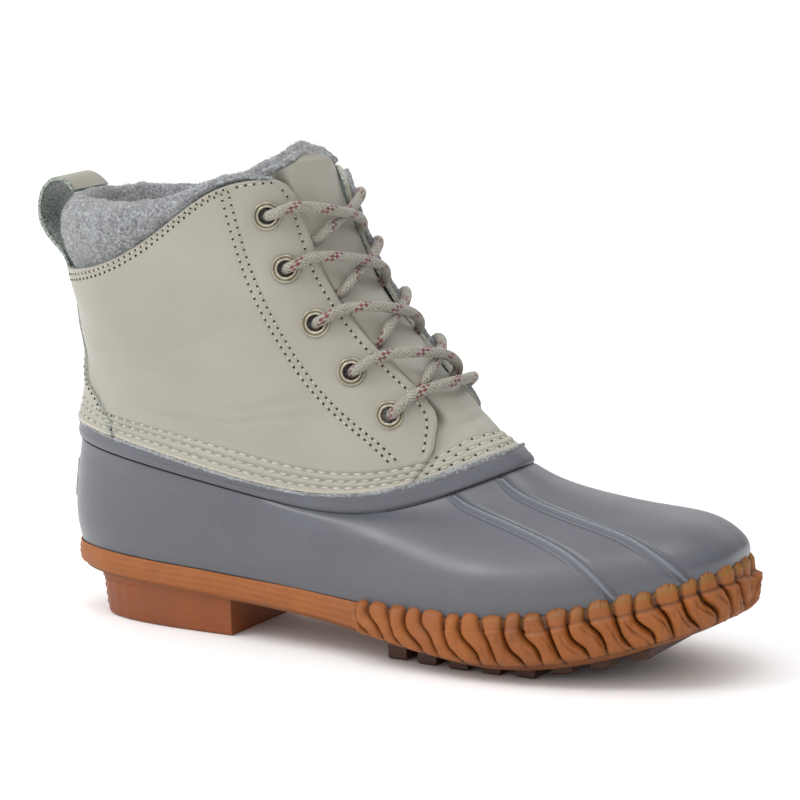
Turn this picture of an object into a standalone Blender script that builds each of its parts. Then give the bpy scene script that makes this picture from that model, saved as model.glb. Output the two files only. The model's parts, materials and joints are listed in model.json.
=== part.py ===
"""Duck boot, right foot: the construction, one object for each piece that a maker would put together.

The boot stands on z = 0 with its toe towards +X and its lateral side towards -Y. The origin is a point on
the heel block's floor face, on its middle line and 28 mm behind its breast. Every length in this file is in
millimetres, and MM turns it into metres when a mesh is written.

The foot and the shaft are one family of closed loops. A loop runs round the boot at one height, from the
back of the heel (0 degrees) along the lateral side (90) to the front (180) and back along the medial side.
A row of SHELL or SHAFT gives the ends, heights and half-widths of one loop, and smooth curves through the
rows fill the surface between them. Every wall is that surface and a copy of it pushed inwards.
"""
import math

import bmesh
import bpy
import numpy as np

MM = 0.001
GAP = 0.35

# A loop's columns: where it starts and ends along X, its height from back to front, its half-widths.
HEIGHT_AT = (0.0, 0.25, 0.50, 0.75, 1.0)
WIDTH_AT = (0.12, 0.42, 0.70, 0.90)
HEEL_ROUNDNESS = 0.80
TOE_ROUNDNESS = 0.74
TOE_SWING = 6.0
SWING_FROM = 40.0
SWING_LENGTH = 195.0

# back_x, front_x, heights at HEIGHT_AT, lateral half-widths at WIDTH_AT, medial half-widths at WIDTH_AT
SHELL = {
    "feather": (-55.5, 231.0, 28.5, 26.5, 23.5, 25.5, 44.0, 29.0, 36.0, 47.0, 35.5, 27.5, 31.0, 46.0, 35.5),
    "wall": (-56.5, 231.2, 35.0, 33.0, 30.5, 33.0, 50.5, 30.5, 37.0, 48.5, 36.0, 29.0, 32.0, 47.0, 35.0),
    "bulge": (-56.9, 225.8, 42.0, 39.5, 37.0, 40.5, 56.3, 31.0, 37.0, 47.0, 33.5, 30.0, 32.5, 45.0, 33.0),
    "toe_box": (-56.7, 215.0, 49.0, 46.0, 43.0, 46.0, 61.0, 31.0, 37.0, 43.5, 29.0, 30.0, 33.0, 41.5, 29.0),
    "vamp": (-56.3, 197.0, 55.0, 51.5, 47.5, 50.5, 63.2, 30.5, 37.0, 39.5, 24.5, 30.0, 33.5, 37.5, 24.0),
    "ridge": (-55.8, 176.0, 61.0, 57.0, 52.0, 54.0, 66.0, 30.0, 37.0, 36.0, 21.5, 29.5, 34.0, 34.0, 21.0),
    "waist": (-55.3, 157.5, 66.0, 61.0, 56.0, 56.0, 70.0, 29.0, 37.0, 34.0, 20.0, 29.0, 34.0, 32.5, 19.5),
    "rim": (-54.8, 145.0, 71.5, 66.0, 59.0, 57.0, 75.0, 28.5, 36.5, 32.5, 19.5, 28.5, 34.0, 31.0, 19.0),
}
SHAFT = {
    "hem": (-54.5, 138.5, 79.5, 73.5, 65.5, 64.5, 81.5, 28.0, 36.5, 31.5, 19.0, 28.0, 34.5, 31.5, 20.5),
    "instep": (-52.0, 121.0, 93.0, 89.0, 85.0, 87.0, 98.0, 26.5, 36.0, 31.5, 20.0, 27.0, 35.0, 33.0, 24.0),
    "ankle": (-51.5, 96.0, 107.0, 105.0, 105.0, 110.0, 119.0, 26.0, 36.0, 33.0, 22.5, 26.5, 35.5, 36.0, 28.0),
    "calf": (-54.0, 70.5, 123.0, 124.0, 130.0, 143.0, 149.0, 27.0, 37.5, 35.5, 25.0, 27.5, 37.0, 38.0, 30.0),
    "collar": (-57.5, 56.0, 140.0, 145.5, 160.0, 179.5, 183.0, 28.5, 38.5, 36.5, 26.0, 28.5, 38.0, 38.0, 30.0),
}

# Rubber shell
SHELL_TURNS = 48
SHELL_WALL = 2.4
SHELL_HEIGHTS = (0.0, 0.14, 0.28, 0.42, 0.56, 0.70, 0.85, 1.0)
SHELL_INNER_HEIGHTS = (1.0, 0.80, 0.55, 0.30, 0.0)
BEAD = 1.5
FLANGE_SET_IN = 2.9
FLANGE_WALL = 1.5
FLANGE_TOP = 0.14
FLANGE_DROP = 3.2
RIB_HEIGHT = 1.0
RIB_TURNS = (138.8, 161.2, 198.8, 221.2)
RIB_LEAN = 9.0

# Leather shaft
SHAFT_COLUMNS = 36
SHAFT_HEIGHTS = (0.0, 0.05, 0.15, 0.26, 0.38, 0.50, 0.62, 0.74, 0.85, 0.93, 0.975, 1.0)
LEATHER = 2.3
BACK_STRIP = 1.1
# height share, turn of the lateral facing edge in degrees, turn of the back strip's edge in degrees
EDGES = (
    (0.0, 129.5, 46.0),
    (0.10, 140.0, 43.0),
    (0.22, 151.0, 36.0),
    (0.32, 155.5, 24.0),
    (0.50, 155.0, 17.0),
    (0.75, 155.5, 14.0),
    (0.93, 157.0, 13.0),
    (0.98, 152.5, 13.0),
    (1.0, 148.0, 13.0),
)

# Eyelets, from the top one down: their height share up the shaft
EYELET_HEIGHTS = (0.905, 0.765, 0.617, 0.463, 0.283)
EYELET_TURN = 137.3
EYELET_SIDES = 10
EYELET_HOLE = 3.9
# radius, distance out from the leather
EYELET_PROFILE = ((2.8, -2.5), (3.4, -2.5), (3.4, 0.45), (5.5, 0.45), (4.9, 1.25), (3.0, 1.25))

# Tongue: height share, lateral edge turn, medial edge turn, distance in from the leather's outer face
TONGUE_WALL = 2.2
TONGUE_COLUMNS = 10
TONGUE = (
    (0.0, 131.5, 228.5, 0.3),
    (0.05, 136.8, 223.2, 1.3),
    (0.10, 142.0, 218.0, 2.8),
    (0.15, 141.0, 219.0, 3.2),
    (0.25, 143.0, 217.0, 3.4),
    (0.40, 146.0, 214.0, 3.3),
    (0.55, 146.5, 213.0, 3.2),
    (0.70, 147.0, 211.0, 3.1),
    (0.82, 148.0, 208.0, 3.1),
    (0.91, 150.0, 205.0, 3.1),
    (0.97, 152.5, 202.0, 3.1),
    (1.02, 155.0, 200.0, 3.1),
    (1.06, 161.0, 196.0, 3.1),
    (1.075, 168.0, 190.0, 3.1),
)

# Cuff: turn, rise of its rim over the leather, outward bulge, depth inwards, tuck below the leather's edge
CUFF = (
    (0.0, 31.0, 4.3, 13.0, 12.0),
    (35.0, 29.5, 4.0, 13.0, 12.0),
    (60.0, 23.0, 3.2, 13.0, 12.0),
    (85.0, 15.0, 1.8, 12.0, 11.0),
    (98.0, 9.0, 0.4, 10.0, 9.0),
    (110.0, 4.5, -0.8, 8.0, 6.0),
    (125.0, 3.0, -1.2, 6.6, 5.0),
    (146.0, 2.6, -1.4, 6.0, 5.0),
)
CUFF_COLUMNS = 26
CUFF_END = 146.0

# Pull loop: its outer face on the middle plane, from the back strip up, over and down to the cuff
LOOP_PATH = (
    (-61.0, 133.5),
    (-61.3, 140.0),
    (-63.2, 145.5),
    (-67.6, 151.0),
    (-71.0, 157.4),
    (-72.0, 163.6),
    (-70.6, 170.0),
    (-66.8, 175.0),
    (-62.0, 176.6),
    (-57.3, 175.2),
    (-53.3, 171.9),
)
LOOP_HALF_WIDTH = 12.5
LOOP_THICKNESS = 1.9
LOOP_CUP = 2.6

# Outsole
RAND_FROM = 90.0
RAND_RAMP = 4.0
LOBES = 20
LOBE_SAMPLES = 4
HEEL_SAMPLES = 14
TAB_HEIGHT = 2.4
# heights of the rand's lower edge at HEIGHT_AT
LOWER_EDGE = (18.8, 16.3, 12.0, 7.4, 25.5)
CROWN = (0.3, 0.3, 1.5, 4.2, 4.5)
# outward distance on plain edge, outward distance on the rand, share of the bump, share of height, phase
SOLE_ROWS = (
    (0.40, 0.40, 0.0, 1.00, 0.0),
    (0.70, 1.60, 0.5, 0.97, 0.0),
    (0.85, 2.60, 1.0, 0.76, 0.15),
    (0.85, 3.20, 1.5, 0.46, 0.35),
    (0.40, 2.20, 1.2, 0.14, 0.60),
    (-1.50, -0.50, 0.4, -0.04, 0.80),
)
TREAD_INSET = -9.0

HEEL_FRONT = 28.0
HEEL_BACK = -41.0
HEEL_HALF_WIDTH = 29.0
HEEL_TOP = 17.5
HEEL_FLARE = 2.4
HEEL_TURNS = 20

LUG_LENGTH = 8.0
LUG_DEPTH = 2.4
LUGS = (104.0, 118.0, 132.0, 146.0, 160.0, 174.0, 188.0, 202.0)
FLAT_FROM = 100.0
FLAT_TO = 165.0

# Insole
INSOLE_CLEARANCE = 4.8
INSOLE_THICKNESS = 4.5
INSOLE_STATIONS = 22

# Lace
LACE_RADIUS = 2.05
LACE_SIDES = 6
LACE_STEPS = 2
LACE_LIFT = 2.5

LEATHER_GREIGE = (0.44, 0.43, 0.37)
RUBBER_BLUE_GREY = (0.16, 0.17, 0.20)
GUM = (0.44, 0.16, 0.045)
FLEECE_GREY = (0.36, 0.37, 0.39)
NICKEL = (0.52, 0.49, 0.42)
LACE_GREIGE = (0.52, 0.50, 0.44)


def clear_scene():
    for thing in list(bpy.data.objects):
        bpy.data.objects.remove(thing, do_unlink=True)


def material(name, colour, roughness, metallic=0.0):
    made = bpy.data.materials.new(name)
    made.use_nodes = True
    shader = made.node_tree.nodes["Principled BSDF"]
    shader.inputs["Base Color"].default_value = (*colour, 1.0)
    shader.inputs["Roughness"].default_value = roughness
    shader.inputs["Metallic"].default_value = metallic
    return made


def smooth_curve(knots, values, at):
    """Natural cubic spline through values at knots, read at the given places."""
    knots = np.asarray(knots, float)
    values = np.asarray(values, float)
    at = np.atleast_1d(np.asarray(at, float))
    flat = values.ndim == 1
    if flat:
        values = values[:, None]
    step = np.diff(knots)
    slope = np.diff(values, axis=0) / step[:, None]
    matrix = np.eye(len(knots))
    right = np.zeros_like(values)
    for i in range(1, len(knots) - 1):
        matrix[i, i - 1:i + 2] = step[i - 1], 2.0 * (step[i - 1] + step[i]), step[i]
        right[i] = 6.0 * (slope[i] - slope[i - 1])
    bend = np.linalg.solve(matrix, right)
    span = np.clip(np.searchsorted(knots, at, side="right") - 1, 0, len(knots) - 2)
    width = step[span][:, None]
    u = at[:, None] - knots[span][:, None]
    start = slope[span] - width * (2.0 * bend[span] + bend[span + 1]) / 6.0
    read = values[span] + u * (start + u * (bend[span] / 2.0 + u * (bend[span + 1] - bend[span]) / (6.0 * width)))
    return read[:, 0] if flat else read


def loop_points(row, turns):
    """Points of one loop at the given turns, in degrees."""
    turn = np.radians(np.asarray(turns, float))
    share = (1.0 - np.cos(turn)) / 2.0
    x = row[0] + (row[1] - row[0]) * share
    z = smooth_curve(HEIGHT_AT, row[2:7], share)
    roundness = HEEL_ROUNDNESS + (TOE_ROUNDNESS - HEEL_ROUNDNESS) * share
    knots = np.array(WIDTH_AT)
    knot_roundness = HEEL_ROUNDNESS + (TOE_ROUNDNESS - HEEL_ROUNDNESS) * knots
    fullness = (2.0 * np.sqrt(knots * (1.0 - knots))) ** knot_roundness
    lateral = smooth_curve(WIDTH_AT, np.array(row[7:11]) / fullness, share)
    medial = smooth_curve(WIDTH_AT, np.array(row[11:15]) / fullness, share)
    width = np.where(np.sin(turn) >= 0.0, -lateral, medial)
    swing = TOE_SWING * np.clip((x - SWING_FROM) / SWING_LENGTH, 0.0, None) ** 2
    y = width * np.abs(np.sin(turn)) ** roundness + swing
    return np.stack([x, y, z], axis=-1)


def surface(table, heights, turns):
    """Grid of points, one row for each height share; turns may differ from row to row."""
    knots = np.linspace(0.0, 1.0, len(table))
    rows = smooth_curve(knots, list(table.values()), heights)
    turns = np.broadcast_to(turns, (len(rows), np.shape(turns)[-1]))
    return np.array([loop_points(row, turn) for row, turn in zip(rows, turns)])


def outward(table, heights, turns):
    """Unit normals of the surface at the same places as surface() reads."""
    heights = np.asarray(heights, float)
    turns = np.broadcast_to(turns, (len(heights), np.shape(turns)[-1])).astype(float)
    along = surface(table, heights, turns + 0.5) - surface(table, heights, turns - 0.5)
    up = surface(table, heights + 0.01, turns) - surface(table, heights - 0.01, turns)
    normal = np.cross(along, up)
    return normal / np.linalg.norm(normal, axis=-1, keepdims=True)


def offset(table, heights, turns, distance):
    """The surface moved outwards by distance, a number or a grid."""
    distance = np.asarray(distance, float)
    moved = distance[..., None] if distance.ndim else distance
    return surface(table, heights, turns) + outward(table, heights, turns) * moved


def add_piece(name, bm, made):
    bmesh.ops.recalc_face_normals(bm, faces=bm.faces[:])
    mesh = bpy.data.meshes.new(name)
    bm.to_mesh(mesh)
    bm.free()
    mesh.shade_smooth()
    mesh.set_sharp_from_angle(angle=math.radians(40.0))
    mesh.materials.append(made)
    piece = bpy.data.objects.new(name, mesh)
    bpy.context.scene.collection.objects.link(piece)
    return piece


def sweep_mesh(sections, closed=False):
    """Closed body through sections of equal length; open ends get a ladder of quads."""
    bm = bmesh.new()
    count = len(sections[0])
    rings = [[bm.verts.new(tuple(float(c) * MM for c in point)) for point in section] for section in sections]
    for i in range(len(rings) if closed else len(rings) - 1):
        this, following = rings[i], rings[(i + 1) % len(rings)]
        for k in range(count):
            after = (k + 1) % count
            bm.faces.new((this[k], this[after], following[after], following[k]))
    if not closed:
        for ring in (rings[0], rings[-1]):
            for k in range(count // 2 - 1):
                bm.faces.new((ring[k], ring[k + 1], ring[count - 2 - k], ring[count - 1 - k]))
    return bm


def unite(piece, others):
    """Boolean union of others into piece; their own objects go away."""
    for other in others:
        joined = piece.modifiers.new(other.name, "BOOLEAN")
        joined.operation = "UNION"
        joined.solver = "EXACT"
        joined.object = other
        apply_modifiers(piece)
        bpy.data.objects.remove(other, do_unlink=True)


def cut(piece, cutters):
    """Boolean difference of each cutter from piece."""
    for cutter in cutters:
        hole = piece.modifiers.new(cutter.name, "BOOLEAN")
        hole.operation = "DIFFERENCE"
        hole.solver = "EXACT"
        hole.object = cutter
        apply_modifiers(piece)
        bpy.data.objects.remove(cutter, do_unlink=True)


def apply_modifiers(piece):
    graph = bpy.context.evaluated_depsgraph_get()
    graph.update()
    mesh = bpy.data.meshes.new_from_object(piece.evaluated_get(graph))
    piece.modifiers.clear()
    piece.data = mesh


def from_table(rows, column, at):
    return np.interp(at, [row[0] for row in rows], [row[column] for row in rows])


def fold_turn(turns):
    """Turn from the back, 0 to 180, of a point on either side."""
    turns = np.asarray(turns, float) % 360.0
    return np.where(turns > 180.0, 360.0 - turns, turns)


def make_shell(made):
    """Rubber foot: ribbed outer face, bead under the hem, flange inside the leather, hollow inside."""
    turns = (np.arange(SHELL_TURNS) + 0.5) * 360.0 / SHELL_TURNS
    heights = np.array(SHELL_HEIGHTS)
    lean = RIB_LEAN * np.clip(np.sin(np.radians((fold_turn(turns) - 105.0) * 2.4)), 0.0, None)
    lean = np.where(turns > 180.0, -lean, lean)
    leaning = turns[None, :] - lean[None, :] * np.sin(np.pi * heights)[:, None]
    spacing = 360.0 / SHELL_TURNS
    rib = np.zeros_like(turns)
    for at in RIB_TURNS:
        rib = np.maximum(rib, np.clip(1.0 - np.abs(turns - at) / spacing, 0.0, 1.0))
    fade = np.clip(np.minimum(heights, 1.0 - heights) / 0.1, 0.0, 1.0)
    rows = list(offset(SHELL, heights, leaning, RIB_HEIGHT * rib[None, :] * fade[:, None]))
    step_out = offset(SHELL, [1.0], turns, BEAD)[0]
    rows.append(step_out + (0.0, 0.0, 1.2))
    hem_drop = np.array((0.0, 0.0, -GAP - 0.1))
    rows.append(offset(SHAFT, [0.0], turns, 0.5)[0] + hem_drop)
    rows.append(offset(SHAFT, [0.0], turns, -FLANGE_SET_IN)[0] + hem_drop)
    under_plug = FLANGE_DROP * np.clip((fold_turn(turns) - 118.0) / 10.0, 0.0, 1.0)
    flange = -FLANGE_SET_IN - under_plug[None, :]
    rows.append(offset(SHAFT, [FLANGE_TOP], turns, flange)[0])
    rows.append(offset(SHAFT, [FLANGE_TOP], turns, flange - FLANGE_WALL)[0])
    rows.append(offset(SHAFT, [0.0], turns, -FLANGE_SET_IN - FLANGE_WALL - 0.4)[0])
    inner = np.array(SHELL_INNER_HEIGHTS[1:])
    rows += list(offset(SHELL, inner, turns, -SHELL_WALL))
    sections = [[row[i] for row in rows] for i in range(SHELL_TURNS)]
    return add_piece("shell", sweep_mesh(sections, closed=True), made)


def shaft_turns(heights):
    """Turns of the shaft's columns at each height, from the lateral facing edge round the back."""
    edge = from_table(EDGES, 1, heights)
    spread = np.linspace(-1.0, 1.0, SHAFT_COLUMNS)
    return edge[:, None] * spread[None, :]


def make_shaft(made):
    """Leather quarters and facings: one wall, open down the front, with a raised back strip."""
    heights = np.array(SHAFT_HEIGHTS)
    turns = shaft_turns(heights)
    strip = from_table(EDGES, 2, heights)
    raised = np.clip((strip[:, None] - np.abs(turns)) / 3.0, 0.0, 1.0) * BACK_STRIP
    outer = offset(SHAFT, heights, -turns, raised)
    inner = offset(SHAFT, heights, -turns, -LEATHER)
    sections = [list(outer[:, i]) + list(inner[::-1, i]) for i in range(SHAFT_COLUMNS)]
    shaft = add_piece("shaft", sweep_mesh(sections), made)
    cut(shaft, [eyelet_cutter(height, side) for height in EYELET_HEIGHTS for side in (1, -1)])
    return shaft


def frame_at(height, turn):
    """Place on the shaft's outer face, with axes out, along the loop and up."""
    place = surface(SHAFT, [height], [turn])[0, 0]
    out = outward(SHAFT, [height], [turn])[0, 0]
    along = surface(SHAFT, [height], [turn + 0.5])[0, 0] - surface(SHAFT, [height], [turn - 0.5])[0, 0]
    along = along / np.linalg.norm(along)
    return place, out, along, np.cross(out, along)


def turned(height, side, profile):
    """Rings of a profile of (radius, distance out) turned round an eyelet's axis."""
    place, out, along, up = frame_at(height, EYELET_TURN * side)
    rings = []
    for k in range(EYELET_SIDES):
        angle = 2.0 * math.pi * k / EYELET_SIDES
        spoke = math.cos(angle) * along + math.sin(angle) * up
        rings.append([place + radius * spoke + away * out for radius, away in profile])
    return rings


def eyelet_cutter(height, side):
    bm = bmesh.new()
    ends = turned(height, side, ((EYELET_HOLE, -6.0), (EYELET_HOLE, 4.0)))
    low = [bm.verts.new(tuple(ring[0] * MM)) for ring in ends]
    high = [bm.verts.new(tuple(ring[1] * MM)) for ring in ends]
    for k in range(EYELET_SIDES):
        after = (k + 1) % EYELET_SIDES
        bm.faces.new((low[k], low[after], high[after], high[k]))
    bm.faces.new(low)
    bm.faces.new(high)
    cutter = add_piece("eyelet_cutter", bm, bpy.data.materials[0])
    cutter.hide_render = True
    cutter.display_type = "WIRE"
    return cutter


def make_eyelets(made):
    for side, word in ((1, "out"), (-1, "in")):
        for number, height in enumerate(EYELET_HEIGHTS, start=1):
            rings = turned(height, side, EYELET_PROFILE)
            add_piece(f"eyelet_{word}_{number}", sweep_mesh(rings, closed=True), made)


def make_tongue(made):
    """Plug under the facings and tongue above it, a curved plate set in from the leather."""
    rows = []
    for height, lateral, medial, set_in in TONGUE:
        turns = np.linspace(lateral, medial, TONGUE_COLUMNS)
        outer = offset(SHAFT, [height], turns, -set_in)[0]
        inner = offset(SHAFT, [height], turns, -set_in - TONGUE_WALL)[0]
        rows.append(list(outer) + list(inner[::-1]))
    return add_piece("tongue", sweep_mesh(rows), made)


def make_collar(made):
    """Padded cuff: rises over the leather at the back, tucks inside it, thins out to the facings."""
    turns = np.linspace(-CUFF_END, CUFF_END, CUFF_COLUMNS)
    edge = surface(SHAFT, [1.0], -turns)[0]
    normal = outward(SHAFT, [1.0], -turns)[0] * (1.0, 1.0, 0.0)
    normal /= np.linalg.norm(normal, axis=-1, keepdims=True)
    sections = []
    for i, turn in enumerate(np.abs(turns)):
        rise, bulge, depth, tuck = (from_table(CUFF, column, turn) for column in (1, 2, 3, 4))
        face = -LEATHER - 0.5
        profile = (
            (face - 0.3, -tuck),
            (face, -0.5 * tuck),
            (face, 0.0),
            (face + 1.2, 0.07 * rise + 0.4),
            (0.3 * bulge - 0.8, 0.20 * rise + 0.4),
            (0.7 * bulge, 0.38 * rise),
            (bulge, 0.60 * rise),
            (0.5 * bulge - 0.6, 0.82 * rise),
            (-0.35 * depth, rise),
            (-0.75 * depth, 0.93 * rise),
            (-depth, 0.62 * rise),
            (-depth, 0.20 * rise),
            (-0.85 * depth, -0.45 * tuck),
            (face - 2.0, -tuck),
        )
        below = offset(SHAFT, [0.97], [-turns[i]], 0.0)[0, 0]
        slant = (edge[i] - below) / max(edge[i][2] - below[2], 0.1)
        section = []
        for out, up in profile:
            lean = slant * up if up < 0.0 else np.array((0.0, 0.0, up))
            section.append(edge[i] + normal[i] * out + lean)
        sections.append(section)
    return add_piece("collar", sweep_mesh(sections), made)


def make_pull_loop(made):
    """Strap from the back strip, out and over to the cuff's rim, cupped where it lies on the heel."""
    path = np.array(LOOP_PATH)
    steps = np.linspace(0.0, len(path) - 1.0, 16)
    line = smooth_curve(np.arange(len(path)), path, steps)
    ahead = smooth_curve(np.arange(len(path)), path, steps + 0.05) - line
    ahead /= np.linalg.norm(ahead, axis=1, keepdims=True)
    inward = np.stack([ahead[:, 1], -ahead[:, 0]], axis=1)
    sections = []
    for i, point in enumerate(line):
        cup = LOOP_CUP * max(0.0, 1.0 - steps[i] / 4.0)
        outer = []
        inner = []
        for across in (-1.0, 0.0, 1.0):
            y = across * LOOP_HALF_WIDTH
            x = point[0] + cup * across ** 2
            outer.append((x, y, point[1]))
            under = inward[i] * LOOP_THICKNESS
            inner.append((x + under[0], y, point[1] + under[1]))
        sections.append(outer + inner[::-1])
    return add_piece("pull_loop", sweep_mesh(sections), made)


def sole_stations():
    """Turns, 0 to 180, at which the outsole is cut across: plain at the heel, four to a lobe in front."""
    fine = np.linspace(0.0, 180.0, 1801)
    line = surface(SHELL, [0.0], fine)[0]
    run = np.concatenate([[0.0], np.cumsum(np.linalg.norm(np.diff(line[:, :2], axis=0), axis=1))])
    start = np.interp(RAND_FROM, line[:, 0], run)
    plain = np.linspace(0.0, start, HEEL_SAMPLES, endpoint=False)
    plain += (plain[1] - plain[0]) * 0.5
    lobed = start + (np.arange(LOBES * LOBE_SAMPLES) + 0.5) * (run[-1] - start) / (LOBES * LOBE_SAMPLES)
    phase = np.concatenate([np.zeros(HEEL_SAMPLES), (lobed - start) / (run[-1] - start) * LOBES])
    return np.interp(np.concatenate([plain, lobed]), run, fine), phase


def plan_normals(turns):
    line = surface(SHELL, [0.0], turns + 0.5)[0] - surface(SHELL, [0.0], turns - 0.5)[0]
    normal = np.stack([line[:, 1], -line[:, 0]], axis=1)
    return normal / np.linalg.norm(normal, axis=1, keepdims=True)


def sole_side(turns, phase):
    """Rows of the outsole's edge on one side, from the deck down to the tread."""
    deck = surface(SHELL, [0.0], turns)[0]
    normal = plan_normals(turns)
    share = (1.0 - np.cos(np.radians(turns))) / 2.0
    low = smooth_curve(HEIGHT_AT, LOWER_EDGE, share)
    crown = smooth_curve(HEIGHT_AT, CROWN, share)
    rand = np.clip((deck[:, 0] - RAND_FROM) / RAND_RAMP, 0.0, 1.0)
    rows = []

    def add_row(out, z):
        rows.append(np.column_stack([deck[:, :2] + normal * out[:, None], z]))

    bump = rand * (0.5 - 0.5 * np.cos(2.0 * np.pi * phase))
    add_row(np.full(len(deck), GAP), deck[:, 2] - GAP)
    tab = 0.25 + TAB_HEIGHT * bump
    for plain, wide, share_of_bump, height, shift in SOLE_ROWS:
        swell = rand * (0.5 - 0.5 * np.cos(2.0 * np.pi * (phase - shift))) * share_of_bump
        out = plain + (wide - plain) * rand + swell
        z = low + (deck[:, 2] - GAP - low) * height + tab * np.clip(height * 4.0 - 3.0, 0.0, 1.0)
        add_row(out, z)
    add_row(np.full(len(deck), TREAD_INSET), low - crown)
    return rows


def make_outsole(made):
    """Gum unit: deck, scalloped rand, waist and tread, with heel block and lugs united to it."""
    turns, phase = sole_stations()
    lateral = sole_side(turns, phase)
    medial = sole_side(360.0 - turns, phase)
    sections = []
    for i in range(len(turns)):
        left = [row[i] for row in lateral]
        right = [row[i] for row in medial]
        half_width = 0.5 * (right[-1][1] - left[-1][1])
        if half_width < 2.0:
            middle = 0.5 * (right[-1] + left[-1])
            inner_x = np.clip(middle[0], HEEL_BACK - 8.0, SHELL["feather"][1] - 8.0)
            left[-1] = np.array((inner_x, middle[1] - 1.0, middle[2]))
            right[-1] = np.array((inner_x, middle[1] + 1.0, middle[2]))
        sections.append(left + right[::-1])
    outsole = add_piece("outsole", sweep_mesh(sections), made)
    unite(outsole, [make_heel_block(made)] + [make_lug(x, made) for x in LUGS])
    return outsole


def make_heel_block(made):
    """D-shaped block: straight breast, round back, a little wider at its top."""
    def outline(grow, z):
        points = []
        depth = HEEL_FRONT - HEEL_BACK
        for k in range(HEEL_TURNS + 1):
            angle = math.pi * k / HEEL_TURNS
            x = HEEL_FRONT - (depth + grow) * abs(math.sin(angle)) ** 0.62
            y = -(HEEL_HALF_WIDTH + 0.4 * grow) * math.copysign(abs(math.cos(angle)) ** 0.62, math.cos(angle))
            points.append((x, y, z))
        return points
    bm = bmesh.new()
    low = [bm.verts.new(tuple(c * MM for c in p)) for p in outline(0.0, 0.0)]
    high = [bm.verts.new(tuple(c * MM for c in p)) for p in outline(HEEL_FLARE, HEEL_TOP)]
    count = len(low)
    for k in range(count):
        after = (k + 1) % count
        bm.faces.new((low[k], low[after], high[after], high[k]))
    bm.faces.new(low)
    bm.faces.new(high)
    return add_piece("heel_block", bm, made)


def tread_height(x):
    share = (x - SHELL["feather"][0]) / (SHELL["feather"][1] - SHELL["feather"][0])
    low = smooth_curve(HEIGHT_AT, LOWER_EDGE, [share])[0]
    return low - smooth_curve(HEIGHT_AT, CROWN, [share])[0]


def half_width_at(x):
    turns = np.linspace(1.0, 179.0, 179)
    lateral = surface(SHELL, [0.0], turns)[0]
    medial = surface(SHELL, [0.0], 360.0 - turns)[0]
    return np.interp(x, lateral[:, 0], lateral[:, 1]), np.interp(x, medial[:, 0], medial[:, 1])


def make_lug(x, made):
    """One bar of the tread, square to the boot, flat on the floor under the ball of the foot."""
    sections = []
    for end in (x - LUG_LENGTH / 2.0, x + LUG_LENGTH / 2.0):
        lateral, medial = half_width_at(x)
        base = tread_height(end)
        bottom = 0.0 if FLAT_FROM <= x <= FLAT_TO else max(base - LUG_DEPTH, 0.0)
        lateral = lateral - TREAD_INSET + 1.5
        medial = medial + TREAD_INSET - 1.5
        top = base + 1.2
        sections.append([(end, lateral, top), (end, lateral, bottom), (end, medial, bottom), (end, medial, top)])
    return add_piece("lug", sweep_mesh(sections), made)


def make_insole(made):
    """Footbed on the deck, inside the shell."""
    feather = list(SHELL["feather"])
    feather[0] += INSOLE_CLEARANCE
    feather[1] -= INSOLE_CLEARANCE
    for column in range(7, 15):
        feather[column] -= INSOLE_CLEARANCE
    turns = (np.arange(INSOLE_STATIONS) + 0.5) * 180.0 / INSOLE_STATIONS
    lateral = loop_points(feather, turns)
    medial = loop_points(feather, 360.0 - turns)
    low = np.array((0.0, 0.0, GAP))
    high = np.array((0.0, 0.0, GAP + INSOLE_THICKNESS))
    sections = [
        (left + low, left + high, right + high, right + low) for left, right in zip(lateral, medial)
    ]
    return add_piece("insole", sweep_mesh(sections), made)


def tube(name, route, made):
    """Round cord through points of its middle line."""
    steps = np.linspace(0.0, len(route) - 1.0, LACE_STEPS * (len(route) - 1) + 1)
    line = smooth_curve(np.arange(len(route)), np.array(route), steps)
    ahead = np.gradient(line, axis=0)
    ahead /= np.linalg.norm(ahead, axis=1, keepdims=True)
    sections = []
    for place, way in zip(line, ahead):
        across = np.cross(way, (0.0, 0.0, 1.0))
        across /= np.linalg.norm(across)
        up = np.cross(across, way)
        ring = []
        for k in range(LACE_SIDES):
            angle = 2.0 * math.pi * (k + 0.5) / LACE_SIDES
            ring.append(place + LACE_RADIUS * (math.cos(angle) * across + math.sin(angle) * up))
        sections.append(ring)
    return add_piece(name, sweep_mesh(sections), made)


def on_shaft(height, turn, lift):
    return offset(SHAFT, [height], [turn], lift)[0, 0]


def lace_route(side, height, under):
    """One strand: out of an eyelet, over its facing and the tongue, to the other facing's edge."""
    places = (
        (EYELET_TURN, 0.0, 3.7),
        (EYELET_TURN + 6.5, 0.10, 4.4),
        (EYELET_TURN + 14.0, 0.22, LACE_LIFT + 1.2),
        (EYELET_TURN + 24.0, 0.40, LACE_LIFT + 0.7),
        (180.0, 0.55, LACE_LIFT + 0.2),
        (192.0, 0.80, LACE_LIFT - 1.2),
        (199.0, 1.0, -0.2),
    )
    drop = height - under
    route = []
    for turn, share, lift in places:
        route.append(on_shaft(height - drop * share, turn if side > 0 else 360.0 - turn, lift))
    return route


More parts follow.
